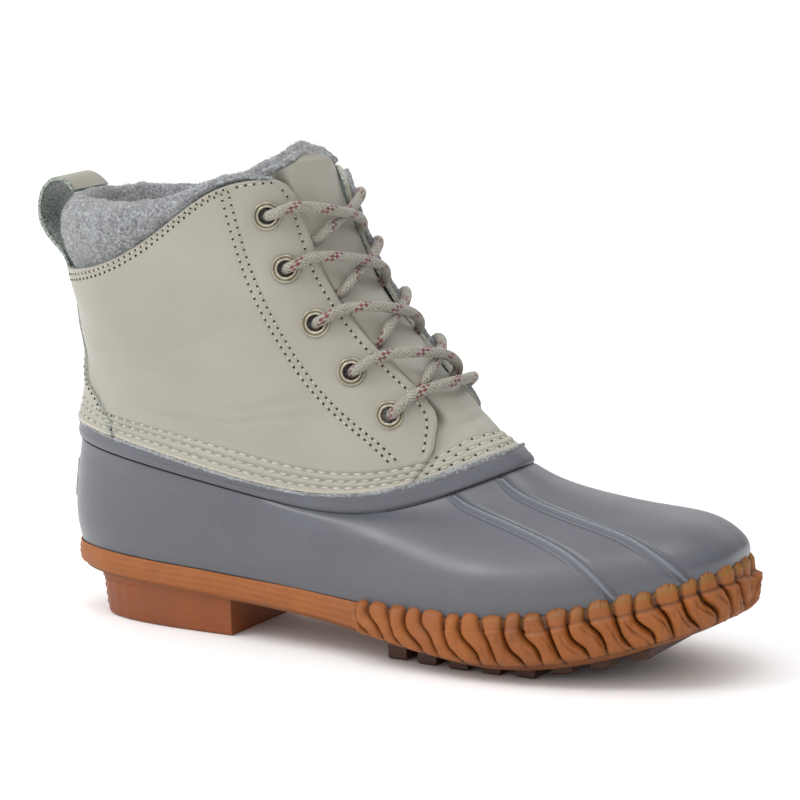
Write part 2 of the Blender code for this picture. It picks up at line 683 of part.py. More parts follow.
def make_laces(made):
    """Four crossings, each two strands joined where they cross, and the straight bar at the bottom."""
    for number, height in enumerate(EYELET_HEIGHTS[:4], start=1):
        under = 0.5 * (height + EYELET_HEIGHTS[number])
        over = tube(f"lace_cross_{number}", lace_route(1, height, under), made)
        other = tube("lace_strand", lace_route(-1, height, under), made)
        unite(over, [other])
    height = EYELET_HEIGHTS[4]
    bar = [
        on_shaft(height, turn, lift)
        for turn, lift in (
            (EYELET_TURN, 3.7),
            (EYELET_TURN + 6.5, 4.4),
            (EYELET_TURN + 16.0, LACE_LIFT + 0.6),
            (170.0, LACE_LIFT),
            (190.0, LACE_LIFT),
            (360.0 - EYELET_TURN - 16.0, LACE_LIFT + 0.6),
            (360.0 - EYELET_TURN - 6.5, 4.4),
            (360.0 - EYELET_TURN, 3.7),
        )
    ]
    tube("lace_bar", bar, made)


def main():
    clear_scene()
    leather = material("leather", LEATHER_GREIGE, 0.5)
    rubber = material("rubber", RUBBER_BLUE_GREY, 0.4)
    gum = material("gum", GUM, 0.55)
    fleece = material("fleece", FLEECE_GREY, 0.95)
    nickel = material("nickel", NICKEL, 0.3, 1.0)
    lace = material("lace", LACE_GREIGE, 0.85)
    make_outsole(gum)
    make_shell(rubber)
    make_shaft(leather)
    make_tongue(leather)
    make_insole(fleece)
    make_collar(fleece)
    make_pull_loop(leather)
    make_eyelets(nickel)
    make_laces(lace)


main()
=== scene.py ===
# %% [markdown]
# # A duck boot, dressed for the studio
# This notebook dresses one right boot. Its solids come packed from CAD and stay fixed, and every
# visible surface is laid over them here: moulded rubber, gum, leather, fleece, nickel and braided lace.
# A render of a boot could start from sculpting, but this boot is lofted from rings with known sizes, so
# each surface is computed from the same rings, and lands on its solid without any fitting.

# %% Load the fixed model
import math
import json
import bpy
import numpy as np
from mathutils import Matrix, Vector, noise

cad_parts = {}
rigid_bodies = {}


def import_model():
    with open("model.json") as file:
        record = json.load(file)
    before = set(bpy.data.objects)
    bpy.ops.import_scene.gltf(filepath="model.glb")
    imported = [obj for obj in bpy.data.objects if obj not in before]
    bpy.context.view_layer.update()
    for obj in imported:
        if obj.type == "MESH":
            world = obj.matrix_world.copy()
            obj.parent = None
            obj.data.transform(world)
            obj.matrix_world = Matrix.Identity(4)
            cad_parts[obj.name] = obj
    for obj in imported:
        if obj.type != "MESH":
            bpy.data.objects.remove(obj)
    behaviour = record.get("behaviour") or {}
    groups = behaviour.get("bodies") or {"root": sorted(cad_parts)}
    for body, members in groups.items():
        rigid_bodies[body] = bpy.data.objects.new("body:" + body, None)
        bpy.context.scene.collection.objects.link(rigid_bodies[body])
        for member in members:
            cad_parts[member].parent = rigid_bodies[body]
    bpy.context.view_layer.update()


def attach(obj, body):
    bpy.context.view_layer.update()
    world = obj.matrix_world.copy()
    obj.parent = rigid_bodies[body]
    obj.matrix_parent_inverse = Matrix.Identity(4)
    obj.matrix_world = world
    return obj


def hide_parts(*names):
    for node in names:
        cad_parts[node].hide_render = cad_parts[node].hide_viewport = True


for leftover in list(bpy.data.objects):
    bpy.data.objects.remove(leftover, do_unlink=True)
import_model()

# %% [markdown]
# ## Camera and light
# A product photo of this kind is taken with a long lens from a little above the floor, three quarters
# from the front. The azimuth, the height and the lens were solved from the floor plane, the sole and the
# collar. Three soft lamps stand for the softboxes: a key from the upper left, one above that gives the
# vamp its broad highlight, and one behind. The white room round them is the world's light.

# %% Camera
AZIMUTH = math.radians(28.0)
ELEVATION = math.radians(10.5)
DISTANCE = 1.4
AIM = Vector((0.08841, 0.0, 0.09575))
back = Vector((
    math.sin(AZIMUTH) * math.cos(ELEVATION),
    -math.cos(AZIMUTH) * math.cos(ELEVATION),
    math.sin(ELEVATION),
))
lens = bpy.data.cameras.new("studio_camera")
lens.lens = 160.65
lens.sensor_width = 36.0
lens.clip_start = 0.05
camera = bpy.data.objects.new("studio_camera", lens)
camera.location = AIM + back * DISTANCE
camera.rotation_euler = back.to_track_quat("Z", "Y").to_euler()
bpy.context.scene.collection.objects.link(camera)
bpy.context.scene.camera = camera
print("camera stands at", [round(c, 3) for c in camera.location])


# %% Lamps, floor and world
def add_softbox(name, azimuth, elevation, away, size, power):
    """Square area lamp that looks at the boot from a turn and a height given in degrees."""
    turn = math.radians(azimuth)
    rise = math.radians(elevation)
    way = Vector((math.sin(turn) * math.cos(rise), -math.cos(turn) * math.cos(rise), math.sin(rise)))
    lamp = bpy.data.lights.new(name, "AREA")
    lamp.energy = power
    lamp.size = size
    stand = bpy.data.objects.new(name, lamp)
    stand.location = AIM + way * away
    stand.rotation_euler = way.to_track_quat("Z", "Y").to_euler()
    bpy.context.scene.collection.objects.link(stand)


add_softbox("key_softbox", -38.0, 48.0, 1.5, 0.45, 4.0)
add_softbox("top_softbox", 30.0, 72.0, 1.5, 0.5, 2.2)
add_softbox("back_softbox", 175.0, 40.0, 1.8, 1.2, 1.5)

# The studio is brighter on the key's side, as white walls round a lamp are
LIT_SIDE = (-0.66, -0.42, 0.62)
world = bpy.data.worlds.new("studio")
world.use_nodes = True
sky = world.node_tree
backdrop = sky.nodes["Background"]
direction = sky.nodes.new("ShaderNodeTexCoord")
toward_key = sky.nodes.new("ShaderNodeVectorMath")
toward_key.operation = "DOT_PRODUCT"
toward_key.inputs[1].default_value = LIT_SIDE
level_of_light = sky.nodes.new("ShaderNodeMapRange")
level_of_light.inputs["From Min"].default_value = -1.0
level_of_light.inputs["From Max"].default_value = 1.0
level_of_light.inputs["To Min"].default_value = 0.12
level_of_light.inputs["To Max"].default_value = 1.55
sky.links.new(direction.outputs["Generated"], toward_key.inputs[0])
sky.links.new(toward_key.outputs["Value"], level_of_light.inputs["Value"])
sky.links.new(level_of_light.outputs["Result"], backdrop.inputs["Strength"])
backdrop.inputs["Color"].default_value = (1.0, 1.0, 1.0, 1.0)
bpy.context.scene.world = world
bpy.context.scene.view_settings.view_transform = "Standard"

FLOOR_HALF = 6.0
FLOOR_HEIGHT = -0.0003
floor_mesh = bpy.data.meshes.new("floor")
corners = [(x * FLOOR_HALF, y * FLOOR_HALF, FLOOR_HEIGHT) for x, y in ((-1, -1), (1, -1), (1, 1), (-1, 1))]
floor_mesh.from_pydata(corners, [], [(0, 1, 2, 3)])
floor = bpy.data.objects.new("floor", floor_mesh)
bpy.context.scene.collection.objects.link(floor)
print("lamps:", [item.name for item in bpy.data.lights])

# %% [markdown]
# ## The rings that the boot is lofted from
# Every ring has a back and a front, a height at five places, and four half widths on either side. A
# natural cubic spline joins the rings. A place on the boot is then named by a height share from the
# lowest ring to the highest, and by a turn in degrees: 0 at the heel, 90 on the lateral side, 180 at the
# toe. Distances are millimetres here, and turn into metres when a mesh is made.

# %% Rings of the rubber foot and the leather shaft
MM = 0.001
GAP = 0.35
HEIGHT_AT = (0.0, 0.25, 0.50, 0.75, 1.0)
WIDTH_AT = (0.12, 0.42, 0.70, 0.90)
HEEL_ROUNDNESS = 0.80
TOE_ROUNDNESS = 0.74
TOE_SWING = 6.0
SWING_FROM = 40.0
SWING_LENGTH = 195.0
SHELL = np.array((
    (-55.5, 231.0, 28.5, 26.5, 23.5, 25.5, 44.0, 29.0, 36.0, 47.0, 35.5, 27.5, 31.0, 46.0, 35.5),
    (-56.5, 231.2, 35.0, 33.0, 30.5, 33.0, 50.5, 30.5, 37.0, 48.5, 36.0, 29.0, 32.0, 47.0, 35.0),
    (-56.9, 225.8, 42.0, 39.5, 37.0, 40.5, 56.3, 31.0, 37.0, 47.0, 33.5, 30.0, 32.5, 45.0, 33.0),
    (-56.7, 215.0, 49.0, 46.0, 43.0, 46.0, 61.0, 31.0, 37.0, 43.5, 29.0, 30.0, 33.0, 41.5, 29.0),
    (-56.3, 197.0, 55.0, 51.5, 47.5, 50.5, 63.2, 30.5, 37.0, 39.5, 24.5, 30.0, 33.5, 37.5, 24.0),
    (-55.8, 176.0, 61.0, 57.0, 52.0, 54.0, 66.0, 30.0, 37.0, 36.0, 21.5, 29.5, 34.0, 34.0, 21.0),
    (-55.3, 157.5, 66.0, 61.0, 56.0, 56.0, 70.0, 29.0, 37.0, 34.0, 20.0, 29.0, 34.0, 32.5, 19.5),
    (-54.8, 145.0, 71.5, 66.0, 59.0, 57.0, 75.0, 28.5, 36.5, 32.5, 19.5, 28.5, 34.0, 31.0, 19.0),
))
SHAFT = np.array((
    (-54.5, 138.5, 79.5, 73.5, 65.5, 64.5, 81.5, 28.0, 36.5, 31.5, 19.0, 28.0, 34.5, 31.5, 20.5),
    (-52.0, 121.0, 93.0, 89.0, 85.0, 87.0, 98.0, 26.5, 36.0, 31.5, 20.0, 27.0, 35.0, 33.0, 24.0),
    (-51.5, 96.0, 107.0, 105.0, 105.0, 110.0, 119.0, 26.0, 36.0, 33.0, 22.5, 26.5, 35.5, 36.0, 28.0),
    (-54.0, 70.5, 123.0, 124.0, 130.0, 143.0, 149.0, 27.0, 37.5, 35.5, 25.0, 27.5, 37.0, 38.0, 30.0),
    (-57.5, 56.0, 140.0, 145.5, 160.0, 179.5, 183.0, 28.5, 38.5, 36.5, 26.0, 28.5, 38.0, 38.0, 30.0),
))


# %% Read a place on the rings
def smooth_curve(knots, values, at):
    """Natural cubic spline through values at knots, read at the given places."""
    knots = np.asarray(knots, float)
    values = np.asarray(values, float)
    at = np.atleast_1d(np.asarray(at, float))
    flat = values.ndim == 1
    if flat:
        values = values[:, None]
    step = np.diff(knots)
    slope = np.diff(values, axis=0) / step[:, None]
    matrix = np.eye(len(knots))
    right = np.zeros_like(values)
    for i in range(1, len(knots) - 1):
        matrix[i, i - 1:i + 2] = step[i - 1], 2.0 * (step[i - 1] + step[i]), step[i]
        right[i] = 6.0 * (slope[i] - slope[i - 1])
    bend = np.linalg.solve(matrix, right)
    span = np.clip(np.searchsorted(knots, at, side="right") - 1, 0, len(knots) - 2)
    width = step[span][:, None]
    u = at[:, None] - knots[span][:, None]
    start = slope[span] - width * (2.0 * bend[span] + bend[span + 1]) / 6.0
    twist = (bend[span + 1] - bend[span]) / (6.0 * width)
    curve = values[span] + u * (start + u * (bend[span] / 2.0 + u * twist))
    return curve[:, 0] if flat else curve


def weights(knots, at):
    """How much of each knot's value is read at each place."""
    return smooth_curve(knots, np.eye(len(knots)), at)


def ring_points(rows, degrees):
    """Points of rings, one ring row and one turn for each point."""
    turn = np.radians(degrees)
    share = (1.0 - np.cos(turn)) / 2.0
    x = rows[:, 0] + (rows[:, 1] - rows[:, 0]) * share
    z = (weights(HEIGHT_AT, share) * rows[:, 2:7]).sum(axis=1)
    roundness = HEEL_ROUNDNESS + (TOE_ROUNDNESS - HEEL_ROUNDNESS) * share
    knots = np.array(WIDTH_AT)
    knot_roundness = HEEL_ROUNDNESS + (TOE_ROUNDNESS - HEEL_ROUNDNESS) * knots
    fullness = (2.0 * np.sqrt(knots * (1.0 - knots))) ** knot_roundness
    blend = weights(WIDTH_AT, share) / fullness
    lateral = (blend * rows[:, 7:11]).sum(axis=1)
    medial = (blend * rows[:, 11:15]).sum(axis=1)
    width = np.where(np.sin(turn) >= 0.0, -lateral, medial)
    swing = TOE_SWING * np.clip((x - SWING_FROM) / SWING_LENGTH, 0.0, None) ** 2
    return np.stack([x, width * np.abs(np.sin(turn)) ** roundness + swing, z], axis=-1)


def place(table, height, turn):
    """Points of the loft at height shares and turns of any matching shape."""
    height, turn = np.broadcast_arrays(np.asarray(height, float), np.asarray(turn, float))
    rows = weights(np.linspace(0.0, 1.0, len(table)), height.ravel()) @ table
    return ring_points(rows, turn.ravel()).reshape(*height.shape, 3)


def unit(vectors):
    return vectors / np.linalg.norm(vectors, axis=-1, keepdims=True)


def facing_out(table, height, turn):
    """Unit normals of the loft."""
    height = np.asarray(height, float)
    turn = np.asarray(turn, float)
    along = place(table, height, turn + 0.5) - place(table, height, turn - 0.5)
    up = place(table, height + 0.01, turn) - place(table, height - 0.01, turn)
    return unit(np.cross(along, up))


def raised(table, height, turn, distance):
    """The loft moved out by a distance, a number or a grid."""
    distance = np.asarray(distance, float)[..., None]
    return place(table, height, turn) + facing_out(table, height, turn) * distance


def fold(turn):
    """Turn from the heel, 0 to 180, of a point on either side."""
    turn = np.asarray(turn, float) % 360.0
    return np.where(turn > 180.0, 360.0 - turn, turn)


print("heel of the rubber foot at", place(SHELL, 0.0, 0.0).round(1))


# %% Make a mesh piece from a grid of points
def grid_faces(rows, columns, wrap_rows=False, wrap_columns=False):
    """Four-sided faces of a grid, joined round where it is wrapped."""
    i = np.arange(rows if wrap_rows else rows - 1)[:, None]
    k = np.arange(columns if wrap_columns else columns - 1)[None, :]
    after_i = (i + 1) % rows
    after_k = (k + 1) % columns
    corners = [i * columns + k, i * columns + after_k, after_i * columns + after_k, after_i * columns + k]
    return np.stack(np.broadcast_arrays(*corners), axis=-1).reshape(-1, 4)


def body_volume(points, faces):
    """Signed volume of a closed mesh; it is negative when the faces point inwards."""
    total = 0.0
    for face in faces:
        face = np.asarray(face)
        face = face if face.ndim == 2 else face[None, :]
        for k in range(1, face.shape[1] - 1):
            a, b, c = points[face[:, 0]], points[face[:, k]], points[face[:, k + 1]]
            total += float((np.cross(b - a, c - a) * a).sum())
    return total


def make_piece(name, points, faces, material, replaces=(), slot=None, marks=None, sharp=None):
    """Object from millimetre points and lists of faces, riding on the boot, its faces turned outwards."""
    points = np.asarray(points, float).reshape(-1, 3)
    if body_volume(points, faces) < 0.0:
        faces = [np.asarray(face)[..., ::-1] for face in faces]
    every = []
    for face in faces:
        face = np.asarray(face)
        every += face.tolist() if face.ndim == 2 else [face.tolist()]
    mesh = bpy.data.meshes.new(name)
    mesh.from_pydata((points * MM).tolist(), [], every)
    mesh.shade_smooth()
    if sharp:
        mesh.set_sharp_from_angle(angle=math.radians(sharp))
    for mark, values in (marks or {}).items():
        layer = mesh.attributes.new(mark, "FLOAT", "POINT")
        layer.data.foreach_set("value", np.asarray(values, float).ravel().astype(np.float32))
    mesh.materials.append(material)
    piece = bpy.data.objects.new(name, mesh)
    bpy.context.scene.collection.objects.link(piece)
    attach(piece, "root")
    if replaces:
        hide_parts(*replaces)
    print(f"{name}: {sum(len(p.vertices) - 2 for p in mesh.polygons)} triangles")
    return piece


def closed_strip(sections):
    """Points and faces of a body swept through rings of equal length, its two ends closed."""
    sections = np.asarray(sections, float)
    count, around = sections.shape[:2]
    faces = [grid_faces(count, around, wrap_columns=True)]
    faces.append(np.arange(around)[::-1])
    faces.append((count - 1) * around + np.arange(around))
    return sections.reshape(-1, 3), faces


def wall_ends(count, around):
    """Quads that close the first and the last section of a thin wall, from its outer to its inner face."""
    rungs = np.arange(around // 2 - 1)
    quads = np.stack([rungs, rungs + 1, around - 2 - rungs, around - 1 - rungs], axis=1)
    return [quads, (quads + (count - 1) * around)[:, ::-1]]


def running_length(line):
    """Length along a line of points, from 0 at its start."""
    return np.concatenate([[0.0], np.cumsum(np.linalg.norm(np.diff(line, axis=0), axis=1))])


# %% [markdown]
# ## A short way to write a finish
# A finish is a node tree round one Principled shader. It could be drawn by hand in the shader editor,
# but boots need many that share the same parts: noise for grain, ramps for colour, bumps for nap. This
# small class wraps those nodes. Patterns read Object coordinates, because every piece sits at the origin
# and its grain then stays the same size everywhere, or a mark that the mesh carries.

# %% The finish helper
def shade(red, green, blue):
    """Linear colour from the 0 to 255 numbers of a picture."""
    shares = (red / 255, green / 255, blue / 255)
    return (*[c / 12.92 if c <= 0.04045 else ((c + 0.055) / 1.055) ** 2.4 for c in shares], 1.0)


class Finish:
    """One material, with short calls for the nodes that the boot's finishes share."""

    def __init__(self, name, **settings):
        self.material = bpy.data.materials.new(name)
        self.material.use_nodes = True
        self.tree = self.material.node_tree
        self.shader = self.tree.nodes["Principled BSDF"]
        for socket, value in settings.items():
            self.shader.inputs[socket.replace("_", " ")].default_value = value
        self.coordinates = self.node("TexCoord").outputs["Object"]

    def node(self, kind, inputs=None, **settings):
        made = self.tree.nodes.new("ShaderNode" + kind)
        for key, value in settings.items():
            setattr(made, key, value)
        for socket, value in (inputs or {}).items():
            if isinstance(value, bpy.types.NodeSocket):
                self.tree.links.new(value, made.inputs[socket])
            else:
                made.inputs[socket].default_value = value
        return made

    def stretch(self, scale):
        return self.node("Mapping", {"Vector": self.coordinates, "Scale": scale}).outputs[0]

    def noise(self, scale, detail=3.0, roughness=0.55, vector=None):
        inputs = {"Vector": vector or self.coordinates, "Scale": scale, "Detail": detail}
        return self.node("TexNoise", {**inputs, "Roughness": roughness}).outputs["Fac"]

    def cells(self, scale, feature="F1", vector=None):
        inputs = {"Vector": vector or self.coordinates, "Scale": scale}
        return self.node("TexVoronoi", inputs, feature=feature).outputs["Distance"]

    def ramp(self, factor, *stops):
        ramp = self.node("ValToRGB", {"Fac": factor})
        elements = ramp.color_ramp.elements
        while len(elements) < len(stops):
            elements.new(1.0)
        for element, (at, colour) in zip(elements, stops):
            element.position = at
            element.color = colour if isinstance(colour, tuple) else (colour, colour, colour, 1.0)
        return ramp.outputs["Color"]

    def mix(self, factor, first, second, blend="MIX"):
        made = self.node("Mix", None, data_type="RGBA", blend_type=blend)
        for index, value in ((0, factor), (6, first), (7, second)):
            if isinstance(value, bpy.types.NodeSocket):
                self.tree.links.new(value, made.inputs[index])
            else:
                made.inputs[index].default_value = value
        return made.outputs[2]

    def maths(self, operation, first, second=0.0):
        return self.node("Math", {0: first, 1: second}, operation=operation).outputs[0]

    def remap(self, value, low, high, new_low, new_high):
        inputs = {"Value": value, "From Min": low, "From Max": high, "To Min": new_low, "To Max": new_high}
        return self.node("MapRange", inputs).outputs["Result"]

    def mark(self, name):
        return self.node("Attribute", None, attribute_name=name).outputs["Fac"]

    def colour(self, value):
        self.tree.links.new(value, self.shader.inputs["Base Color"])

    def roughness(self, value):
        self.tree.links.new(value, self.shader.inputs["Roughness"])

    def bump(self, *layers):
        """Stack bump layers of (height, distance in metres, strength)."""
        before = None
        for height, distance, strength in layers:
            inputs = {"Height": height, "Distance": distance, "Strength": strength}
            if before:
                inputs["Normal"] = before
            before = self.node("Bump", inputs).outputs["Normal"]
        self.tree.links.new(before, self.shader.inputs["Normal"])


floor_finish = Finish("studio_floor", Roughness=0.75)
floor_finish.shader.inputs["Specular IOR Level"].default_value = 0.2
paper = floor_finish.ramp(floor_finish.noise(3.0), (0.0, shade(251, 251, 251)), (1.0, shade(254, 254, 254)))
floor_finish.colour(paper)
floor_mesh.materials.append(floor_finish.material)
print("helpers ready")

# %% [markdown]
# ## The rubber foot
# The foot of a duck boot is one moulded piece of blue-grey rubber. It has four raised ribs that run from
# the hem down over the vamp, a thin groove painted near-black as shade, and a smooth band under the
# leather. The ribs could be a texture, but they catch the light, so each vertex is lifted by its distance
# from a rib's middle line, and a painted highlight lightens the top of each rib.
# Rubber is satin: a fine mottle in its colour, a soft coat, and cloudy darkening towards the bottom.

# %% Rubber finish
rubber = Finish("blue_grey_rubber", Coat_Weight=0.45, Coat_Roughness=0.28)
cloud = rubber.noise(28.0, 5.0, 0.6)
speck = rubber.noise(900.0, 2.0, 0.5)
height_up = rubber.node("SeparateXYZ", {0: rubber.coordinates}).outputs["Z"]
# Cloudy darkening of the colour towards the bottom of the foot
low_darkening = rubber.remap(height_up, 0.026, 0.05, 0.5, 0.0)
base = rubber.ramp(cloud, (0.25, shade(74, 76, 84)), (0.55, shade(80, 82, 90)), (0.8, shade(88, 90, 98)))
base = rubber.mix(rubber.remap(speck, 0.5, 0.8, 0.0, 0.22), base, shade(103, 105, 112))
base = rubber.mix(rubber.maths("MULTIPLY", low_darkening, cloud), base, shade(74, 71, 70))
# Painted highlight: lighter rubber along the top of each rib
base = rubber.mix(rubber.mark("crest_highlight"), base, shade(118, 121, 130))
base = rubber.mix(rubber.mark("patch"), base, shade(40, 41, 46))
# Painted shade: near-black rubber in the groove under the bead and on the rim's top rows
base = rubber.mix(rubber.mark("groove"), base, shade(22, 22, 26))
rubber.colour(base)
rubber.roughness(rubber.ramp(rubber.noise(60.0, 4.0), (0.3, 0.36), (0.7, 0.46)))
rubber.bump((cloud, 0.0006, 0.3), (rubber.noise(520.0, 3.0), 0.00005, 0.45), (speck, 0.00002, 0.4))
print("finish", rubber.material.name)

# %% Ribs as middle lines with their sizes
RIB_HEIGHT = 1.7
RIBS = ((140.2, 6.5), (158.0, 9.5), (202.0, -9.5), (219.8, -6.5))


def rib_relief(points, height):
    """Height of the ribs, and a painted highlight along the top of each rib, at each point of the foot."""
    lift = np.zeros(len(points))
    crest_highlight = np.zeros(len(points))
    for turn, lean in RIBS:
        share = np.linspace(0.0, 1.0, 160)
        line = place(SHELL, share, turn - lean * np.sin(np.pi * share))
        near = np.full(len(points), 1e9)
        for first in range(0, len(points), 8000):
            gap = points[first:first + 8000, None, :] - line[None, :, :]
            near[first:first + 8000] = np.sqrt((gap ** 2).sum(axis=2).min(axis=1))
        width = 0.88 + 0.30 * (1.0 - height)
        fade = np.clip(height / 0.08, 0.0, 1.0) ** 0.6 * np.clip((1.0 - height) / 0.03, 0.0, 1.0)
        ridge = np.exp(-np.abs(near / width) ** 1.8)
        lift += fade * RIB_HEIGHT * (ridge - 0.24 * np.exp(-((near - 2.1 * width) / (0.6 * width)) ** 2))
        # Painted highlight along the top of each rib
        crest_highlight += 0.7 * fade * np.exp(-(near / 0.8) ** 2)
    return lift, crest_highlight


# %% Rubber foot
SHELL_WALL = 2.4
FLANGE_SET_IN = 2.9
FLANGE_WALL = 1.5
FLANGE_TOP = 0.14
FLANGE_DROP = 3.2
side_turns = np.concatenate([
    np.arange(0.0, 128.0, 1.28), np.arange(128.0, 165.0, 0.3), np.arange(165.0, 195.0, 0.8),
    np.arange(195.0, 232.0, 0.3), np.arange(232.0, 360.0, 1.28),
])
height_rows = np.concatenate([np.linspace(0.0, 0.93, 118), np.linspace(0.94, 1.0, 9)])
grid_height, grid_turn = np.meshgrid(height_rows, side_turns, indexing="ij")
base_points = place(SHELL, grid_height, grid_turn).reshape(-1, 3)
lift, crest_highlight = rib_relief(base_points, grid_height.ravel())
lift = lift.reshape(grid_height.shape)
x, y, z = np.moveaxis(base_points.reshape(*grid_height.shape, 3), -1, 0)
lift += 0.25 * np.sin(x / 17.0 + 1.3) * np.sin(z / 9.0) * np.clip(grid_height * 5.0, 0.0, 1.0)
# Shallow dents from wear: place along the boot, height, reach, depth
DENTS = ((38.0, 46.0, 13.0, 0.6), (-20.0, 38.0, 16.0, 0.4), (96.0, 44.0, 15.0, 0.7), (172.0, 40.0, 18.0, 0.4))
for dent_x, dent_z, reach, depth in DENTS:
    lift -= depth * np.exp(-(((x - dent_x) / reach) ** 2 + ((z - dent_z) / (0.6 * reach)) ** 2))
PATCH_HALF_WIDTH = 15.0
PATCH_FOOT, PATCH_TOP = 46.0, 62.0
patch = np.clip((-30.0 - x) / 2.0, 0.0, 1.0) * np.clip((PATCH_HALF_WIDTH - np.abs(y)) / 0.5, 0.0, 1.0)
patch = patch * np.clip((z - PATCH_FOOT) / 0.5, 0.0, 1.0) * np.clip((PATCH_TOP - z) / 0.5, 0.0, 1.0)
lift += 0.5 * patch
outer_rows = list(raised(SHELL, grid_height, grid_turn, lift))
# Painted shade for the groove: the rim's top rows here, and the bead's inward rows below
groove_shade_marks = [np.full(len(side_turns), np.clip((row - 0.985) / 0.012, 0.0, 1.0)) for row in height_rows]

# %% Bead under the hem, flange and inner wall
hem_drop = np.array((0.0, 0.0, -GAP - 0.1))
hem_place = raised(SHAFT, 0.0, side_turns, 0.5) + hem_drop
rim_place = outer_rows[-1]
rim_normal = facing_out(SHELL, 1.0, side_turns)
# Bead: share of the way up to the hem, and how far it stands out
BEAD = (
    (0.02, -0.55), (0.06, -0.55), (0.10, 0.35), (0.14, 0.75), (0.22, 0.95), (0.42, 0.95), (0.52, 0.9),
    (0.55, 0.62), (0.62, 0.6), (0.84, 0.5), (1.0, 0.0),
)
for step, bead in BEAD:
    outer_rows.append(rim_place + (hem_place - rim_place) * step + rim_normal * bead)
    groove_shade_marks.append(np.full(len(side_turns), 1.0 if bead < 0.0 else 0.0))
under_plug = FLANGE_DROP * np.clip((fold(side_turns) - 118.0) / 10.0, 0.0, 1.0)
flange = -FLANGE_SET_IN - under_plug
inner_rows = [
    raised(SHAFT, 0.0, side_turns, -FLANGE_SET_IN) + hem_drop,
    raised(SHAFT, FLANGE_TOP, side_turns, flange),
    raised(SHAFT, FLANGE_TOP, side_turns, flange - FLANGE_WALL),
    raised(SHAFT, 0.0, side_turns, -FLANGE_SET_IN - FLANGE_WALL - 0.4),
]
inner_rows += [raised(SHELL, share, side_turns, -SHELL_WALL) for share in (0.8, 0.55, 0.3, 0.0)]
groove_shade_marks += [np.zeros(len(side_turns))] * len(inner_rows)
foot_rows = np.array(outer_rows + inner_rows)
patch_marks = np.zeros(foot_rows.shape[:2])
patch_marks[:len(height_rows)] = patch
crest_highlight_marks = np.zeros(foot_rows.shape[:2])
crest_highlight_marks[:len(height_rows)] = crest_highlight.reshape(grid_height.shape)
make_piece(
    "rubber_foot", foot_rows,
    [grid_faces(len(foot_rows), len(side_turns), wrap_rows=True, wrap_columns=True)],
    rubber.material, ("shell",), "rubber",
    {"groove": np.array(groove_shade_marks), "patch": patch_marks, "crest_highlight": crest_highlight_marks}, sharp=50.0,
)

# %% [markdown]
# ## The gum outsole
# The sole is one moulding of caramel gum. From the waist forward its edge is a rand: a row of rounded
# fingers like a rope, each with a thin tab on top and a deep groove beside it. The fingers could be
# forty separate lumps, but the real rand is one skin, so the edge is lofted with 24 columns for every
# finger, and a height formula with a seeded change from finger to finger shapes it.

# %% Gum finish
gum = Finish("caramel_gum", Coat_Weight=0.05, Coat_Roughness=0.4)
mottle = gum.noise(45.0, 5.0, 0.62)
grain = gum.noise(700.0, 3.0, 0.6)
streaks = gum.noise(240.0, 3.0, 0.6, gum.stretch((0.12, 1.0, 1.0)))
tone = gum.ramp(mottle, (0.2, shade(118, 60, 11)), (0.5, shade(139, 75, 15)), (0.8, shade(154, 87, 21)))
tone = gum.mix(gum.remap(grain, 0.5, 0.8, 0.0, 0.35), tone, shade(168, 103, 38))
tone = gum.mix(gum.mark("heel"), tone, gum.ramp(mottle, (0.2, shade(112, 53, 8)), (0.8, shade(136, 68, 13))))
tone = gum.mix(gum.mark("tip"), tone, shade(120, 98, 40))
# Painted shade: near-black gum in the grooves between fingers, under the edge and on the tread bars
tone = gum.mix(gum.mark("deep"), tone, shade(36, 15, 5))
gum.colour(tone)
gum.roughness(gum.ramp(mottle, (0.3, 0.5), (0.7, 0.64)))
gum.bump((mottle, 0.0004, 0.3), (streaks, 0.00014, 0.5), (grain, 0.00006, 0.7))
print("finish", gum.material.name)

# %% Sizes of the sole
RAND_FROM = 90.0
RAND_RAMP = 4.0
LOBES = 20
LOBE_COLUMNS = 24
HEEL_COLUMNS = 70
TAB_HEIGHT = 2.4
LOWER_EDGE = (18.8, 16.3, 12.0, 7.4, 25.5)
CROWN = (0.3, 0.3, 1.5, 4.2, 4.5)
TREAD_INSET = -9.0
# Way down the edge, and how far a plain finger stands out there
SMOOTH_FINGER = ((0.0, 0.05, 0.16, 0.35, 0.62, 0.88, 1.0), (0.0, 0.6, 0.85, 0.9, 1.0, 0.75, 0.1))


def sole_columns():
    """Turns and finger phases of the columns on one side, heel to toe."""
    fine = np.linspace(0.0, 180.0, 3601)
    line = place(SHELL, 0.0, fine)
    run = running_length(line[:, :2])
    start = np.interp(RAND_FROM, line[:, 0], run)
    plain = (np.arange(HEEL_COLUMNS) + 0.5) * start / HEEL_COLUMNS
    count = LOBES * LOBE_COLUMNS
    lobed = start + (np.arange(count) + 0.5) * (run[-1] - start) / count
    phase = np.concatenate([np.zeros(HEEL_COLUMNS), (lobed - start) / (run[-1] - start) * LOBES])
    return np.interp(np.concatenate([plain, lobed]), run, fine), phase


columns, phase = sole_columns()
print("columns on one side of the sole:", len(columns))


# %% One side of the edge
def edge_normals(turns):
    line = place(SHELL, 0.0, turns + 0.5)[:, :2] - place(SHELL, 0.0, turns - 0.5)[:, :2]
    return unit(np.stack([line[:, 1], -line[:, 0]], axis=1))


